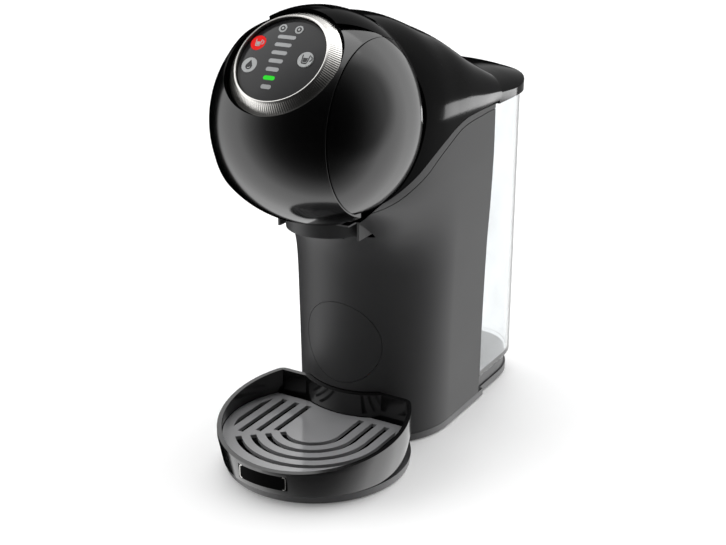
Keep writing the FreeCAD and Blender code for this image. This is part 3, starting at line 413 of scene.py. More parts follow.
MATERIALS = {
    "matte_body": material("MatteBody", (0.031, 0.031, 0.032), 0.46, grain=2600.0, bump=0.25, depth=0.0001,
                           Specular_IOR_Level=0.28),
    "dark_base": material("DarkBase", (0.045, 0.045, 0.047), 0.42, grain=2400.0, bump=0.15),
    "gloss_black": material("GlossBlack", (0.003, 0.003, 0.0031), 0.09, rough_swing=0.02, bump=0.004,
                            IOR=1.05),
    "gloss_grey": material("GlossGrey", (0.0012, 0.0012, 0.0013), 0.12, rough_swing=0.02, bump=0.004,
                           Specular_IOR_Level=0.5),
    "rubber_black": material("RubberBlack", (0.012, 0.012, 0.012), 0.75, grain=1800.0, bump=0.3),
    "inner_plastic": material("InnerPlastic", (0.018, 0.018, 0.019), 0.5, grain=1500.0, bump=0.12),
    "nickel": material("Nickel", (0.56, 0.55, 0.53), 0.26, Metallic=1.0, grain=3000.0, bump=0.08,
                       rough_swing=0.06),
    "steel": material("Steel", (0.5, 0.5, 0.5), 0.28, Metallic=1.0, grain=2000.0, bump=0.06),
    "badge_chrome": material("BadgeChrome", (0.78, 0.79, 0.8), 0.09, Metallic=1.0, rough_swing=0.02,
                             bump=0.01),
    "panel_gloss": material("PanelGloss", (0.026, 0.026, 0.027), 0.1, rough_swing=0.02, bump=0.004,
                            Specular_IOR_Level=0.2),
    # The red key's emission is a painted glow: it lifts the red so it stays saturated under the gloss
    # reflections, though the key is no lamp.
    "key_red": material("KeyRedPaintedGlow", (0.62, 0.006, 0.005), 0.4, grain=1800.0, bump=0.04,
                        Specular_IOR_Level=0.08, Emission_Color=(1.0, 0.004, 0.003, 1.0),
                        Emission_Strength=0.2),
    "tray_gloss": material("TrayGloss", (0.005, 0.005, 0.0052), 0.14, rough_swing=0.02, bump=0.004,
                           Specular_IOR_Level=0.7),
    "key_grey": material("KeyGrey", (0.36, 0.37, 0.37), 0.32, grain=1800.0, bump=0.04),
    "bar_grey": material("BarGrey", (0.3, 0.305, 0.31), 0.3, grain=1800.0, bump=0.04),
    "bar_green": material("BarGreen", (0.02, 0.5, 0.02), 0.4, grain=1800.0, bump=0.04,
                          Specular_IOR_Level=0.1, Emission_Color=(0.02, 0.8, 0.02, 1.0),
                          Emission_Strength=0.35),
    "clear_tank": material("ClearTank", (0.82, 0.84, 0.85), 0.05, rough_swing=0.02, bump=0.01,
                           Transmission_Weight=1.0, IOR=1.45),
    "grid_gloss": material("GridGloss", (0.3, 0.3, 0.307), 0.14, rough_swing=0.03, bump=0.01,
                           Specular_IOR_Level=0.7, Coat_Weight=0.6, Coat_Roughness=0.06),
    "copper": material("Copper", (0.72, 0.32, 0.18), 0.34, Metallic=1.0, grain=1400.0, bump=0.1),
    "heater_alloy": material("HeaterAlloy", (0.46, 0.46, 0.47), 0.42, Metallic=1.0, grain=900.0, bump=0.2),
    "hose_clear": material("HoseClear", (0.72, 0.72, 0.7), 0.32, grain=900.0, bump=0.06,
                           Transmission_Weight=0.5),
    "board_green": material("BoardGreen", (0.015, 0.11, 0.04), 0.4, grain=700.0, bump=0.1),
    "component_black": material("ComponentBlack", (0.02, 0.02, 0.022), 0.45, grain=900.0, bump=0.1),
}

# ---------------------------------------------------------------- side lines and sections

SHOULDER_LINE = [(-112.0, 175.6), (-91.0, 174.9), (-75.0, 177.0), (-60.0, 182.3), (-44.0, 189.0),
                 (-30.6, 196.0), (-16.5, 202.5), (0.0, 208.6), (17.0, 211.8), (54.0, 212.2), (70.0, 212.2)]
CREASE_LINE = [(-93.0, 169.0), (-80.0, 170.9), (-65.0, 175.3), (-50.0, 180.8), (-34.0, 187.4),
               (-22.0, 194.2), (-8.0, 200.6), (9.0, 206.7), (40.0, 209.0), (58.0, 209.2)]
COLUMN_STATIONS = [(6.4, 52.8, -45.0, 2.0), (40.0, 53.4, -45.0, 2.0), (80.0, 54.2, -45.2, 2.0),
                   (120.0, 55.4, -46.0, 2.0), (136.0, 56.3, -49.0, 2.1), (148.0, 56.9, -56.5, 2.25),
                   (158.0, 57.3, -69.0, 2.4), (166.0, 57.6, -83.0, 2.5), (173.0, 57.8, -95.0, 2.6),
                   (180.0, 58.0, -103.0, 2.6), (216.0, 58.0, -106.0, 2.6)]
HOOD_STATIONS = [(-80.0, 42.8, 283.0, 2.1), (-64.0, 50.0, 283.0, 2.1), (-40.0, 55.4, 280.5, 2.15),
                 (-17.0, 57.7, 277.0, 2.2), (3.0, 58.0, 269.5, 2.3), (20.0, 58.0, 262.0, 2.4),
                 (43.0, 57.6, 248.0, 2.5), (66.0, 56.6, 234.6, 2.7)]
LID_STATIONS = [(64.0, 57.6, 234.8, 2.2), (78.0, 57.6, 232.4, 2.15), (90.0, 57.6, 230.6, 2.1),
                (104.0, 57.6, 228.4, 2.05), (118.0, 57.6, 225.6, 2.0), (130.0, 57.6, 222.0, 2.0),
                (138.0, 57.6, 218.0, 2.0)]
COLUMN_BACK = column_high.y
COLUMN_WALL = 3.0
BAND_LOW = 275.5
RIM_FRONT = 22.8
RIM_BACK = 38.5


def below_line(name, points, lift, floor):
    line = [(y, z + lift) for y, z in smooth_path(points)]
    outline = [(line[0][0] - 60.0, floor), (line[-1][0] + 60.0, floor), (line[-1][0] + 60.0, line[-1][1])]
    outline += list(reversed(line))
    outline.append((line[0][0] - 60.0, line[0][1]))
    return side_prism(name, outline)


def above_rim(lift):
    """Room above the sloping rim of the drip tray."""
    front = TRAY_Y - TRAY_RADIUS
    slope = (RIM_BACK - RIM_FRONT) / (tray_high.y - front)
    return side_prism("rimRoom", [(front - 10.0, RIM_FRONT + lift - 10.0 * slope),
                                  (front + 130.0, RIM_FRONT + lift + 130.0 * slope),
                                  (front + 130.0, 120.0), (front - 10.0, 120.0)])


# ---------------------------------------------------------------- column and its round cap

column = plan_solid("ColumnShell", COLUMN_STATIONS, COLUMN_BACK)
carve(column, "INTERSECT", below_line("shoulder", SHOULDER_LINE, 0.0, -20.0))
carve(column, "DIFFERENCE", hull("headRoom", HEAD_RADIUS, HEAD_HALF, 0.5))
crease_band = below_line("creaseHigh", CREASE_LINE, 0.35, -20.0)
carve(crease_band, "DIFFERENCE", below_line("creaseLow", CREASE_LINE, -0.35, -40.0))
carve(crease_band, "DIFFERENCE", plan_solid("creaseCore", COLUMN_STATIONS, COLUMN_BACK, 0.45))
carve(column, "DIFFERENCE", crease_band)
column_room = plan_solid("columnRoom", COLUMN_STATIONS, COLUMN_BACK, COLUMN_WALL, low=3.0, high=214.0)
carve(column_room, "DIFFERENCE", block("roomStop", (-90, -140, 138), (90, -28, 300)),
      block("roomFront", (-90, -140, -10), (90, -34.4, 46)))
tray_way = block("trayWay", (-90, -140, -10), (90, tray_high.y + 0.4, 60))
carve(tray_way, "DIFFERENCE", above_rim(0.5))
carve(column, "DIFFERENCE", column_room, block("holderWay", (-29.3, -130, 147.6), (29.3, -24, 300)),
      block("spoutWay", (-9.8, -130, 144.3), (9.8, -44.4, 148.5)), tray_way)
cap_low, cap_high = span("column_cap")
CAP_RADIUS = (cap_high.x - cap_low.x) / 2.0
CAP_Z = (cap_high.z + cap_low.z) / 2.0
CAP_DEPTH = 4.0
cap_skin = plan_solid("ColumnCap", COLUMN_STATIONS, COLUMN_BACK)
carve(cap_skin, "INTERSECT", rod("capDisc", CAP_RADIUS, (0, -70, CAP_Z), (0, -20, CAP_Z), 192))
carve(cap_skin, "DIFFERENCE",
      plan_solid("capCore", COLUMN_STATIONS, COLUMN_BACK, CAP_DEPTH, low=30.0, high=110.0, fine=60))
largest(cap_skin)
carve(column, "DIFFERENCE", rod("capHole", CAP_RADIUS + 0.3, (0, -70, CAP_Z), (0, -34.6, CAP_Z), 192),
      rod("inletWay", 6.0, (-75, 40, 18), (-40, 40, 18), 64))
finish_piece(column, "machine", MATERIALS["matte_body"], "matte_body", "column_shell", edge=0.4)
finish_piece(cap_skin, "machine", MATERIALS["matte_body"], "matte_body", "column_cap", edge=0.2)

# ---------------------------------------------------------------- hood, domes and lever

hood = arch_solid("YokeHood", HOOD_STATIONS, 214.0, 150.0)
carve(hood, "UNION", hull("headSolid", HEAD_RADIUS, HEAD_HALF))
carve(hood, "DIFFERENCE", below_line("shoulderGap", SHOULDER_LINE, 0.25, 100.0))
inner_arch = arch_solid("innerArch", HOOD_STATIONS, 214.0, 140.0, HEAD_WALL)
carve(inner_arch, "INTERSECT", block("archStop", (-80, -90, 0), (80, 63, 400)))
HINGE_ROOM = 8.2
hinge_zone = bar("hingeRoom", HINGE_ROOM, HINGE_Y, HINGE_Z, SLICE_HALF + 0.5, 96)
carve(hinge_zone, "INTERSECT", block("hingeHigh", (-50, -60, BAND_LOW), (50, -30, 300)))
hinge_low = bar("hingeLow", HINGE_ROOM, HINGE_Y, HINGE_Z, 22.0, 96)
carve(hinge_low, "INTERSECT", block("hingeMid", (-22, -60, 273), (22, -30, 276)))
carve(hood, "DIFFERENCE", hull("hoodRoom", HEAD_RADIUS, HEAD_HALF, -HEAD_WALL), inner_arch,
      bar("faceBar", FACE_RADIUS, FACE_Y, FACE_Z),
      block("leverZone", (-SLICE_HALF - 0.5, -150, 100), (SLICE_HALF + 0.5, HINGE_Y + 0.2, 320)),
      hinge_zone, hinge_low, block("chinCut", (-80, -150, 100), (80, -100, 200)))
largest(hood)
finish_piece(hood, "machine", MATERIALS["gloss_black"], "gloss_black", "yoke_hood", edge=0.5, segments=3)

dome = hull("SideDomeRight", HEAD_RADIUS, HEAD_HALF)
carve(dome, "DIFFERENCE", hull("domeRoom", HEAD_RADIUS, HEAD_HALF, -HEAD_WALL))
carve(dome, "INTERSECT", bar("domeFace", FACE_RADIUS - 0.3, FACE_Y, FACE_Z))
carve(dome, "INTERSECT", block("domeSide", (SEAM, -160, 100), (90, 20, 300)))
largest(dome)
other = mirror(dome, "SideDomeLeft")
finish_piece(dome, "machine", MATERIALS["gloss_grey"], "gloss_grey", "side_dome_right", edge=0.4, segments=3)
finish_piece(other, "machine", MATERIALS["gloss_grey"], "gloss_grey", "side_dome_left", edge=0.4, segments=3)


def on_panel(obj):
    obj.data.transform(panel_frame)
    return obj


SEAT_RADIUS = 36.0
SEAT_DEPTH = 12.0


def dial_hole(name):
    return on_panel(rod(name, SEAT_RADIUS + 0.05, (0, 0, -SEAT_DEPTH), (0, 0, 60), 192))


shell = hull("LeverShell", BALL_RADIUS, BALL_HALF)
region = block("sliceRegion", (-SLICE_HALF, -160, LEVER_LOW), (SLICE_HALF, shell_high.y + 20, 300))
carve(region, "DIFFERENCE", block("gripRoom", (-90, -66, 100), (90, 20, 240)),
      block("chamberWay", (-90, -81.6, 100), (90, 20, 187)), dial_hole("shellHole"))
face_area = bar("faceInner", FACE_RADIUS - 0.4, FACE_Y, FACE_Z)
carve(face_area, "UNION", block("lowerPart", (-94, -150, 100), (94, -60, 221)))
carve(region, "INTERSECT", face_area)
carve(shell, "INTERSECT", region)
carve(shell, "DIFFERENCE", hull("ballRoom", BALL_RADIUS, BALL_HALF, -HEAD_WALL))
largest(shell)
finish_piece(shell, "lever", MATERIALS["gloss_grey"], "gloss_grey", "lever_shell", edge=0.4, segments=3)

band = hull("LeverTopBand", HEAD_RADIUS, HEAD_HALF)
band_region = block("bandRegion", (-SLICE_HALF, -160, 240), (SLICE_HALF, -38, 300))
above_pin = block("abovePin", (-90, HINGE_Y, HINGE_Z), (90, 20, 320))
carve(above_pin, "DIFFERENCE", bar("knuckleRound", 7.7, HINGE_Y, HINGE_Z, 95, 96))
badge_low, badge_high = span("lever_badge")
badge_middle = (badge_low + badge_high) / 2
BADGE_GAP = 0.15
badge_reach = (badge_high - badge_low) / 2 + Vector((BADGE_GAP, BADGE_GAP, 0.0))
badge_edge = [(badge_middle.x + badge_reach.x * math.cos(math.tau * step / 72),
               badge_middle.y + badge_reach.y * math.sin(math.tau * step / 72)) for step in range(72)]
badge_pocket = rings("badgePocket", [[(x, y, z) for x, y in badge_edge] for z in (badge_low.z - 0.1, 300.0)])
carve(band_region, "DIFFERENCE", dial_hole("bandHole"), bar("bandFace", FACE_RADIUS, FACE_Y, FACE_Z),
      above_pin,
      block("belowPin", (-90, HINGE_Y - 0.3, 100), (90, 20, HINGE_Z + 3)),
      block("wedgeRight", (21.4, HINGE_Y - 0.3, 240), (60, 20, 300)),
      block("wedgeLeft", (-60, HINGE_Y - 0.3, 240), (-21.4, 20, 300)),
      block("bracketRoom", (-17, HINGE_Y - 4.4, 240), (17, 0, HINGE_Z + 4.2)))
carve(band, "INTERSECT", band_region)
carve(band, "DIFFERENCE", hull("bandRoom", HEAD_RADIUS, HEAD_HALF, -HEAD_WALL - 1.6))
web = block("web", (-8.5, HINGE_Y - 20, HINGE_Z - 2), (8.5, HINGE_Y, HINGE_Z + 6))
carve(web, "INTERSECT", hull("webSkin", HEAD_RADIUS, HEAD_HALF, -2.0))
carve(band, "UNION", rod("knuckle", 4.0, (-8.5, HINGE_Y, HINGE_Z), (8.5, HINGE_Y, HINGE_Z), 64), web)
carve(band, "DIFFERENCE", bar("pinBore", 2.06, HINGE_Y, HINGE_Z, 30, 64), badge_pocket)
largest(band)
finish_piece(band, "lever", MATERIALS["gloss_black"], "gloss_black", "lever_top_band", edge=0.5, segments=3)

# ---------------------------------------------------------------- dial with its fine knurl

DIAL_RADIUS = 34.4
BORE = 27.5
DIAL_DEPTH = 7.4
KNURLS = 150
profile = [(DIAL_RADIUS - 0.5, -DIAL_DEPTH, 0.0), (DIAL_RADIUS, -DIAL_DEPTH + 0.5, 0.0),
           (DIAL_RADIUS - 0.25, -DIAL_DEPTH + 1.0, 0.0), (DIAL_RADIUS - 0.55, -DIAL_DEPTH + 1.2, 1.0),
           (BORE + 2.0, -1.1, 1.0), (BORE + 1.7, -0.75, 0.0), (BORE + 1.0, -0.12, 0.0),
           (BORE + 0.7, 0.0, 0.0),
           (BORE + 0.25, -0.1, 0.0), (BORE, -0.5, 0.0), (BORE, -DIAL_DEPTH, 0.0)]
loops = []
for radius, height, knurl in profile:
    loop = []
    for step in range(KNURLS * 4):
        angle = math.tau * step / (KNURLS * 4)
        dent = knurl * 0.16 * (0.0, 1.0, 1.0, 0.0)[step % 4]
        loop.append(((radius - dent) * math.cos(angle), (radius - dent) * math.sin(angle), height))
    loops.append(loop)
dial = on_panel(rings("DialRing", loops, wrap=True))
finish_piece(dial, "dial", MATERIALS["nickel"], "nickel", "dial_ring", edge=0.0, angle=28.0)

# ---------------------------------------------------------------- tank and lid

TANK_POWER = 3.0
TANK_TIP = tank_high.y
TANK_HALF = tank_high.x
TANK_FRONT = tank_low.y


def tank_plan(name, shrink, low, high, front, half=TANK_HALF, tip=TANK_TIP, rows=40):
    loops = []
    for step in range(rows + 1):
        z = low + (high - low) * step / rows
        loop = [(x, y, z) for x, y in bulge(half - shrink, TANK_MIDDLE, tip - shrink, TANK_POWER, 121)]
        for part in range(1, 9):
            loop.append((-half + shrink, TANK_MIDDLE + (front - TANK_MIDDLE) * part / 9.0, z))
        for part in range(0, 25):
            loop.append((-half + shrink + 2 * (half - shrink) * part / 24.0, front, z))
        for part in range(1, 9):
            loop.append((half - shrink, front + (TANK_MIDDLE - front) * part / 9.0, z))
        loops.append(loop)
    return rings(name, loops)


TANK_WALL = 2.4
VALVE_WAY = 7.2
tank = tank_plan("TankBody", 0.0, tank_low.z, tank_high.z, TANK_FRONT)
carve(tank, "DIFFERENCE",
      tank_plan("tankRoom", TANK_WALL, tank_low.z + 3.0, tank_high.z + 5.0, TANK_FRONT + TANK_WALL),
      rod("valveWay", VALVE_WAY, (0, TANK_MIDDLE, 0), (0, TANK_MIDDLE, 40), 64))
finish_piece(tank, "tank", MATERIALS["clear_tank"], "clear_tank", "tank_body", edge=0.5)

LID_TIP = 134.4
LID_SPRING = 207.0
LID_AXIS_Z = 211.6
lid = arch_solid("TankLid", LID_STATIONS, LID_SPRING, 190.0)
carve(lid, "INTERSECT", tank_plan("lidPlan", 0.0, lid_low.z, 260.0, lid_low.y, lid_high.x, LID_TIP, 12))
lid_room = arch_solid("lidRoom", LID_STATIONS, LID_SPRING, 180.0, TANK_WALL)
carve(lid_room, "INTERSECT",
      tank_plan("lidInner", 1.0, 190.0, 270.0, lid_low.y + TANK_WALL, TANK_HALF, TANK_TIP, 12))
notch = [block("earNotch" + side, (low, 129.4, 200), (high, 139.4, LID_AXIS_Z + 3.4))
         for side, low, high in (("Left", -20.4, -15.6), ("Right", 15.6, 20.4))]
carve(lid, "DIFFERENCE", lid_room, *notch)
carve(lid, "UNION", rod("lidKnuckle", 2.1, (-15.6, LID_TIP, LID_AXIS_Z), (15.6, LID_TIP, LID_AXIS_Z), 48))
carve(lid, "DIFFERENCE", rod("lidBore", 0.96, (-17, LID_TIP, LID_AXIS_Z), (17, LID_TIP, LID_AXIS_Z), 32))
largest(lid)
finish_piece(lid, "tank_cover", MATERIALS["gloss_black"], "gloss_black", "tank_lid", edge=0.6, segments=3)

# ---------------------------------------------------------------- drip tray

tray = rod("DripTray", TRAY_RADIUS - 3.0, (0, TRAY_Y, tray_low.z), (0, TRAY_Y, RIM_FRONT), 256, TRAY_RADIUS)
tray_upper = rod("trayUpper", TRAY_RADIUS, (0, TRAY_Y, RIM_FRONT), (0, TRAY_Y, RIM_FRONT + 22.0), 256)
carve(tray, "UNION", tray_upper)
TRAY_CORNER = 7.0
CORNER_STEPS = 16
ROUND_STEPS = 200
outline = []
inner_y = tray_high.y - TRAY_CORNER
inner_x = math.sqrt((TRAY_RADIUS - TRAY_CORNER) ** 2 - (inner_y - TRAY_Y) ** 2)
turn_from = math.atan2(inner_y - TRAY_Y, inner_x)
for step in range(CORNER_STEPS + 1):
    angle = math.pi / 2 + (turn_from - math.pi / 2) * step / CORNER_STEPS
    outline.append((inner_x + TRAY_CORNER * math.cos(angle), inner_y + TRAY_CORNER * math.sin(angle)))
sweep = math.tau - (math.pi - 2 * turn_from)
for step in range(1, ROUND_STEPS):
    angle = turn_from - sweep * step / ROUND_STEPS
    outline.append((TRAY_RADIUS * math.cos(angle), TRAY_Y + TRAY_RADIUS * math.sin(angle)))
for step in range(CORNER_STEPS + 1):
    angle = math.pi - turn_from + (turn_from - math.pi / 2) * step / CORNER_STEPS
    outline.append((-inner_x + TRAY_CORNER * math.cos(angle), inner_y + TRAY_CORNER * math.sin(angle)))
tray_plan = rings("trayPlan", [[(x, y, z) for x, y in outline] for z in (-5.0, 90.0)])
carve(tray, "DIFFERENCE", above_rim(0.0))
carve(tray, "INTERSECT", tray_plan)
TRAY_WALL = 2.6
GRID_RADIUS = 58.0
GRID_TOP = 21.8
GRID_THICK = 2.4
basin = rod("basin", GRID_RADIUS - 2.4, (0, TRAY_Y, tray_low.z + TRAY_WALL), (0, TRAY_Y, 90), 256)
basin_top = rod("basinTop", GRID_RADIUS + 0.35, (0, TRAY_Y, GRID_TOP - GRID_THICK), (0, TRAY_Y, 90), 256)
carve(basin, "UNION", basin_top)
carve(basin, "DIFFERENCE",
      plan_solid("columnWay", COLUMN_STATIONS, 80.0, -(0.8 + TRAY_WALL), low=6.4, high=100.0, fine=20),
      block("basinBack", (-90, tray_high.y - TRAY_WALL, -5), (90, 60, 95)))
label_cut = rod("labelCut", TRAY_RADIUS + 5.0, (0, TRAY_Y, 10.5), (0, TRAY_Y, 20.5), 256)
carve(label_cut, "DIFFERENCE", rod("labelCore", TRAY_RADIUS - 1.9, (0, TRAY_Y, 5), (0, TRAY_Y, 25), 256))
carve(label_cut, "INTERSECT", block("labelSpan", (-17.5, -150, 5), (17.5, -100, 30)))
carve(tray, "DIFFERENCE", basin, label_cut)
largest(tray)
finish_piece(tray, "tray", MATERIALS["tray_gloss"], "gloss_black", "drip_tray", edge=0.7, segments=3)

# ---------------------------------------------------------------- CAD nodes carried over as they are

slot_of = {entry["node"]: entry["material_slot"] for entry in frame["record"]["subparts"]}
REPLACED = {"column_shell", "column_cap", "yoke_hood", "side_dome_left", "side_dome_right", "lever_shell",
            "lever_top_band", "dial_ring", "tank_body", "tank_lid", "drip_tray"}
ROUNDED = {"drip_grid": 0.35, "base_ring": 0.4, "base_plate": 0.5, "capsule_holder": 0.5, "holder_spout": 0.3,
           "holder_rails": 0.3, "control_panel": 0.12, "start_button": 0.2, "cold_button": 0.2,
           "hot_button": 0.2, "strength_button": 0.12, "warmth_button": 0.12, "tray_label": 0.2,
           "rubber_feet": 0.2, "tank_dock": 0.5, "pump_coil": 0.6, "pump_body": 0.8, "thermoblock": 0.4,
           "board_components": 0.4, "lever_bracket": 0.3, "tank_ears": 0.2}

smoothing = bpy.data.node_groups.new("RoundShading", "GeometryNodeTree")
smoothing.interface.new_socket("Geometry", in_out="INPUT", socket_type="NodeSocketGeometry")
smoothing.interface.new_socket("Geometry", in_out="OUTPUT", socket_type="NodeSocketGeometry")
group_in = smoothing.nodes.new("NodeGroupInput")
group_out = smoothing.nodes.new("NodeGroupOutput")
edge_angle = smoothing.nodes.new("GeometryNodeInputMeshEdgeAngle")
sharper = smoothing.nodes.new("FunctionNodeCompare")
sharper.data_type = "FLOAT"
sharper.operation = "LESS_EQUAL"
sharper.inputs[1].default_value = math.radians(32.0)
face_smooth = smoothing.nodes.new("GeometryNodeSetShadeSmooth")
face_smooth.domain = "FACE"
edge_smooth = smoothing.nodes.new("GeometryNodeSetShadeSmooth")
edge_smooth.domain = "EDGE"
smoothing.links.new(group_in.outputs[0], face_smooth.inputs["Geometry"])
smoothing.links.new(face_smooth.outputs[0], edge_smooth.inputs["Geometry"])
smoothing.links.new(edge_angle.outputs["Unsigned Angle"], sharper.inputs[0])
smoothing.links.new(sharper.outputs[0], edge_smooth.inputs["Shade Smooth"])
smoothing.links.new(edge_smooth.outputs[0], group_out.inputs[0])

for name, obj in frame["nodes"].items():
    if name in REPLACED:
        continue
    slot = slot_of[name]
    obj.data.materials.clear()
    obj.data.materials.append(MATERIALS[slot])
    if name in ROUNDED:
        rounding = obj.modifiers.new("edge", "BEVEL")
        rounding.limit_method = "ANGLE"
        rounding.angle_limit = math.radians(35.0)
        rounding.width = ROUNDED[name] * MM
        rounding.segments = 2
        rounding.use_clamp_overlap = True
    shading = obj.modifiers.new("shading", "NODES")
    shading.node_group = smoothing

# ---------------------------------------------------------------- small plain pictograms on the keys

ICON_SHIFT = -2.0
PANEL_DOME = 140.0
KEY_RISE = 0.25


def key_top(x, y):
    return KEY_RISE - (PANEL_DOME - math.sqrt(PANEL_DOME ** 2 - x ** 2 - y ** 2))


def arc(x, y, radius, start, end, count=24):
    return [(x + radius * math.cos(math.radians(start + (end - start) * step / count)),
             y + radius * math.sin(math.radians(start + (end - start) * step / count)))
            for step in range(count + 1)]


def band(x, y, outer, inner, start, end):
    return arc(x, y, outer, start, end) + list(reversed(arc(x, y, inner, start, end)))


def cup_marks(size):
    body = [(-1.5 * size, 1.6 * size), (-1.1 * size, -1.3 * size), (-0.8 * size, -1.6 * size),
            (0.8 * size, -1.6 * size), (1.1 * size, -1.3 * size), (1.5 * size, 1.6 * size),
            (1.15 * size, 1.6 * size), (0.85 * size, -1.2 * size), (-0.85 * size, -1.2 * size),
            (-1.15 * size, 1.6 * size)]
    drink = [(-0.85 * size, 0.5 * size), (-0.65 * size, -0.95 * size), (0.65 * size, -0.95 * size),
             (0.85 * size, 0.5 * size)]
    handle = band(1.5 * size, 0.35 * size, 1.05 * size, 0.7 * size, -75, 75)
    return [body, drink, handle]


def drop_marks(size):
    point = [(0.0, 2.1 * size)]
    outer = point + arc(0.0, -0.5 * size, 1.35 * size, 25, -205, 32)
    inner = arc(0.0, -0.5 * size, 0.9 * size, -25, -120, 16)
    glint = inner + list(reversed(arc(0.0, -0.5 * size, 0.6 * size, -25, -120, 16)))
    return [outer], [glint]


def mark(name, body, x, y, shapes, slot, lift=0.0):
    """Thin raised pictogram on a key, at panel coordinates."""
    middle_x = x + ICON_SHIFT
    base = key_top(middle_x, y)
    piece = None
    for number, shape in enumerate(shapes):
        low_side = [(middle_x + px, y + py, base - 0.08) for px, py in shape]
        high_side = [(middle_x + px, y + py, base + 0.10 + lift) for px, py in shape]
        part = rings(name + "Part%d" % number, [low_side, high_side])
        if piece is None:
            piece = part
        else:
            mesh = bmesh.new()
            mesh.from_mesh(piece.data)
            mesh.from_mesh(part.data)
            mesh.to_mesh(piece.data)
            mesh.free()
            bpy.data.objects.remove(part)
    piece.name = name
    on_panel(piece)
    return finish_piece(piece, body, MATERIALS[slot], slot, edge=0.0)


drop, glint = drop_marks(1.55)
mark("StartMark", "start_key", -17.0, 8.5, cup_marks(1.4), "key_grey")
mark("HotMark", "hot_key", 17.6, 1.2, cup_marks(1.75), "panel_gloss")
mark("ColdMark", "cold_key", -16.4, -6.2, drop, "panel_gloss")
mark("ColdGlint", "cold_key", -16.4, -6.2, glint, "key_grey", 0.06)
mark("StrengthMark", "strength_key", -5.4, 19.6, [arc(0.0, 0.0, 1.55, 0, 352, 44)], "panel_gloss")
mark("StrengthDot", "strength_key", -5.4, 19.6, [arc(0.0, 0.0, 0.75, 0, 345, 23)], "key_grey", 0.06)
mark("WarmthMark", "warmth_key", 5.4, 19.6, [arc(0.0, 0.0, 1.55, 0, 352, 44)], "panel_gloss")
mark("WarmthDot", "warmth_key", 5.4, 19.6, [arc(0.0, 0.0, 0.75, 0, 345, 23)], "key_grey", 0.06)

# ---------------------------------------------------------------- plain inlay of the badge, rim of the label

LENS_RADIUS = 30.0
LENS_SINK = 27.2
INLAY_REACH = 9.6
lens_ratio = (badge_high.y - badge_low.y) / (badge_high.x - badge_low.x)


def inlay_loop(reach, lift):
    height = badge_low.z - LENS_SINK + math.sqrt(LENS_RADIUS ** 2 - reach ** 2) + lift
    return [(badge_middle.x + reach * math.cos(math.tau * step / 72),
             badge_middle.y + reach * lens_ratio * math.sin(math.tau * step / 72), height)
            for step in range(72)]


inlay_loops = [inlay_loop(INLAY_REACH, -0.3), inlay_loop(INLAY_REACH, 0.06)]
inlay_loops += [inlay_loop(INLAY_REACH * share / 12.0, 0.09) for share in range(11, 0, -1)]
finish_piece(rings("BadgeInlay", inlay_loops), "lever", MATERIALS["gloss_black"], "gloss_black", edge=0.0)

label_low, label_high = span("tray_label")
TRAY_MIDDLE_Y = tray_low.y + (tray_high.x - tray_low.x) / 2
label_radius = TRAY_MIDDLE_Y - label_low.y
LABEL_CORNER = 1.6


def label_loop(inset, reach):
    """Rounded outline laid on the round front of the tray."""
    half = (label_high.x - label_low.x) / 2 - inset
    tall = (label_high.z - label_low.z) / 2 - inset
    corner = LABEL_CORNER - inset * 0.5
    points = []
    for side, up, start in ((1, 1, 0), (-1, 1, 90), (-1, -1, 180), (1, -1, 270)):
        points += arc(side * (half - corner), up * (tall - corner), corner, start, start + 90, 8)
    middle_z = (label_low.z + label_high.z) / 2
    return [((label_radius + reach) * math.sin(u / label_radius),
             TRAY_MIDDLE_Y - (label_radius + reach) * math.cos(u / label_radius), middle_z + w)
            for u, w in points]


label_rim = rings("LabelRim", [label_loop(0.3, -0.2), label_loop(0.3, 0.14), label_loop(0.75, 0.14),
                               label_loop(0.75, -0.2)], wrap=True)
finish_piece(label_rim, "tray", MATERIALS["nickel"], "badge_chrome", edge=0.0)

# ---------------------------------------------------------------- floor, light and surroundings

floor_material = material("PaleFloor", (0.9, 0.9, 0.9), 0.6, colour_swing=0.01, grain=300.0, bump=0.01,
                          Emission_Color=(1.0, 1.0, 1.0, 1.0), Emission_Strength=0.12)
floor_loops = []
BACK = 2200.0
FRONT = -6000.0
SIDE = 5000.0
RISE = 900.0
for step in range(33):
    t = step / 32.0
    if t < 0.5:
        y, z = FRONT + (BACK - FRONT - RISE) * t * 2.0, 0.0
    else:
        angle = (t - 0.5) * math.pi
        y, z = BACK - RISE + RISE * math.sin(angle), RISE - RISE * math.cos(angle)
    floor_loops.append([(-SIDE, y, z), (SIDE, y, z)])
floor_verts = [Vector(point) * MM for loop in floor_loops for point in loop]
floor_faces = [(2 * row, 2 * row + 1, 2 * row + 3, 2 * row + 2) for row in range(len(floor_loops) - 1)]
floor = mesh_object("Floor", floor_verts, floor_faces)
floor.data.polygons.foreach_set("use_smooth", [True] * len(floor.data.polygons))
floor.data.materials.append(floor_material)
floor.visible_glossy = False


def softbox(name, where, aim, width, height, power, colour=(1.0, 1.0, 1.0)):
    data = bpy.data.lights.new(name, "AREA")
    data.shape = "RECTANGLE"
    data.size = width
    data.size_y = height
    data.energy = power
    data.color = colour
    lamp = bpy.data.objects.new(name, data)
    bpy.context.scene.collection.objects.link(lamp)
    lamp.location = where
    direction = Vector(aim) - Vector(where)
    lamp.rotation_euler = direction.to_track_quat("-Z", "Y").to_euler()
    lamp.visible_camera = False
    return lamp


MIDDLE = (0.0, 0.0, 0.15)
softbox("TopSoft", (0.1, 0.35, 1.6), MIDDLE, 1.2, 1.0, 4.0)

# A low strip that only draws the soft streak on the glossy hood and lid.
streak = softbox("HoodStreak", (0.50, 0.885, 0.05), (0.0575, 0.02, 0.22), 0.30, 0.115, 4.2)
streak.data.diffuse_factor = 0.0
glossy_pieces = bpy.data.collections.new("GlossyPieces")
for name in ("YokeHood", "TankLid"):
    glossy_pieces.objects.link(bpy.data.objects[name])
streak.light_linking.receiver_collection = glossy_pieces

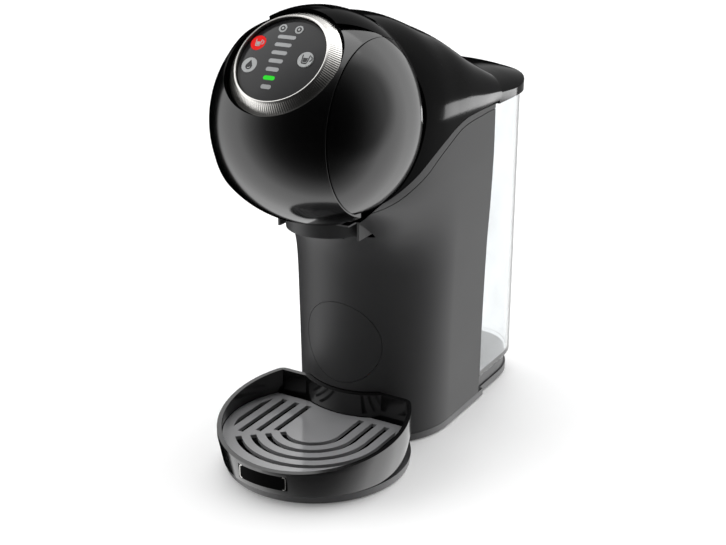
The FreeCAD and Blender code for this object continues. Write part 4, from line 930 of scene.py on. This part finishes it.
# The surroundings: a dark side in front of the machine, bright walls beside and behind.
DARK_SIDE = Vector((out.x, out.y, 0.10)).normalized()
SKY_STEPS = [(0.0, 0.46), (0.08, 0.46), (0.27, 0.95), (0.41, 1.75), (0.56, 0.9), (0.725, 0.19),
             (0.835, 0.04), (0.935, 0.010), (1.0, 0.008)]
world = bpy.data.worlds.new("Studio")
bpy.context.scene.world = world
world.use_nodes = True
sky = world.node_tree.nodes["Background"]
sky.inputs["Strength"].default_value = 2.2
heading = world.node_tree.nodes.new("ShaderNodeTexCoord")
facing = world.node_tree.nodes.new("ShaderNodeVectorMath")
facing.operation = "DOT_PRODUCT"
facing.inputs[1].default_value = DARK_SIDE
share = world.node_tree.nodes.new("ShaderNodeMapRange")
share.inputs["From Min"].default_value = -1.0
steps = world.node_tree.nodes.new("ShaderNodeValToRGB")
steps.color_ramp.interpolation = "B_SPLINE"
points = steps.color_ramp.elements
while len(points) < len(SKY_STEPS):
    points.new(0.5)
for point, (where, level) in zip(points, SKY_STEPS):
    point.position = where
for point, (where, level) in zip(points, SKY_STEPS):
    point.color = (level, level, level, 1.0)
links = world.node_tree.links
links.new(heading.outputs["Generated"], facing.inputs[0])
links.new(facing.outputs["Value"], share.inputs["Value"])
links.new(share.outputs["Result"], steps.inputs["Fac"])

# Dark walls: direction, angle where the dark ends, angle where the light starts, level left.
DARK_WALLS = [((-0.85, 0.52, -0.08), 38.0, 41.0, 0.0), ((0.95, -0.1, 0.3), 36.0, 50.0, 0.42)]
last = steps.outputs["Color"]
for direction, inner, outer, level in DARK_WALLS:
    toward = world.node_tree.nodes.new("ShaderNodeVectorMath")
    toward.operation = "DOT_PRODUCT"
    toward.inputs[1].default_value = Vector(direction).normalized()
    fade = world.node_tree.nodes.new("ShaderNodeMapRange")
    fade.inputs["From Min"].default_value = math.cos(math.radians(inner))
    fade.inputs["From Max"].default_value = math.cos(math.radians(outer))
    fade.inputs["To Min"].default_value = level
    masked = world.node_tree.nodes.new("ShaderNodeMix")
    masked.data_type = "RGBA"
    masked.blend_type = "MULTIPLY"
    masked.inputs["Factor"].default_value = 1.0
    links.new(heading.outputs["Generated"], toward.inputs[0])
    links.new(toward.outputs["Value"], fade.inputs["Value"])
    links.new(last, masked.inputs["A"])
    links.new(fade.outputs["Result"], masked.inputs["B"])
    last = masked.outputs["Result"]
links.new(last, sky.inputs["Color"])

# ---------------------------------------------------------------- the end

bpy.context.view_layer.update()
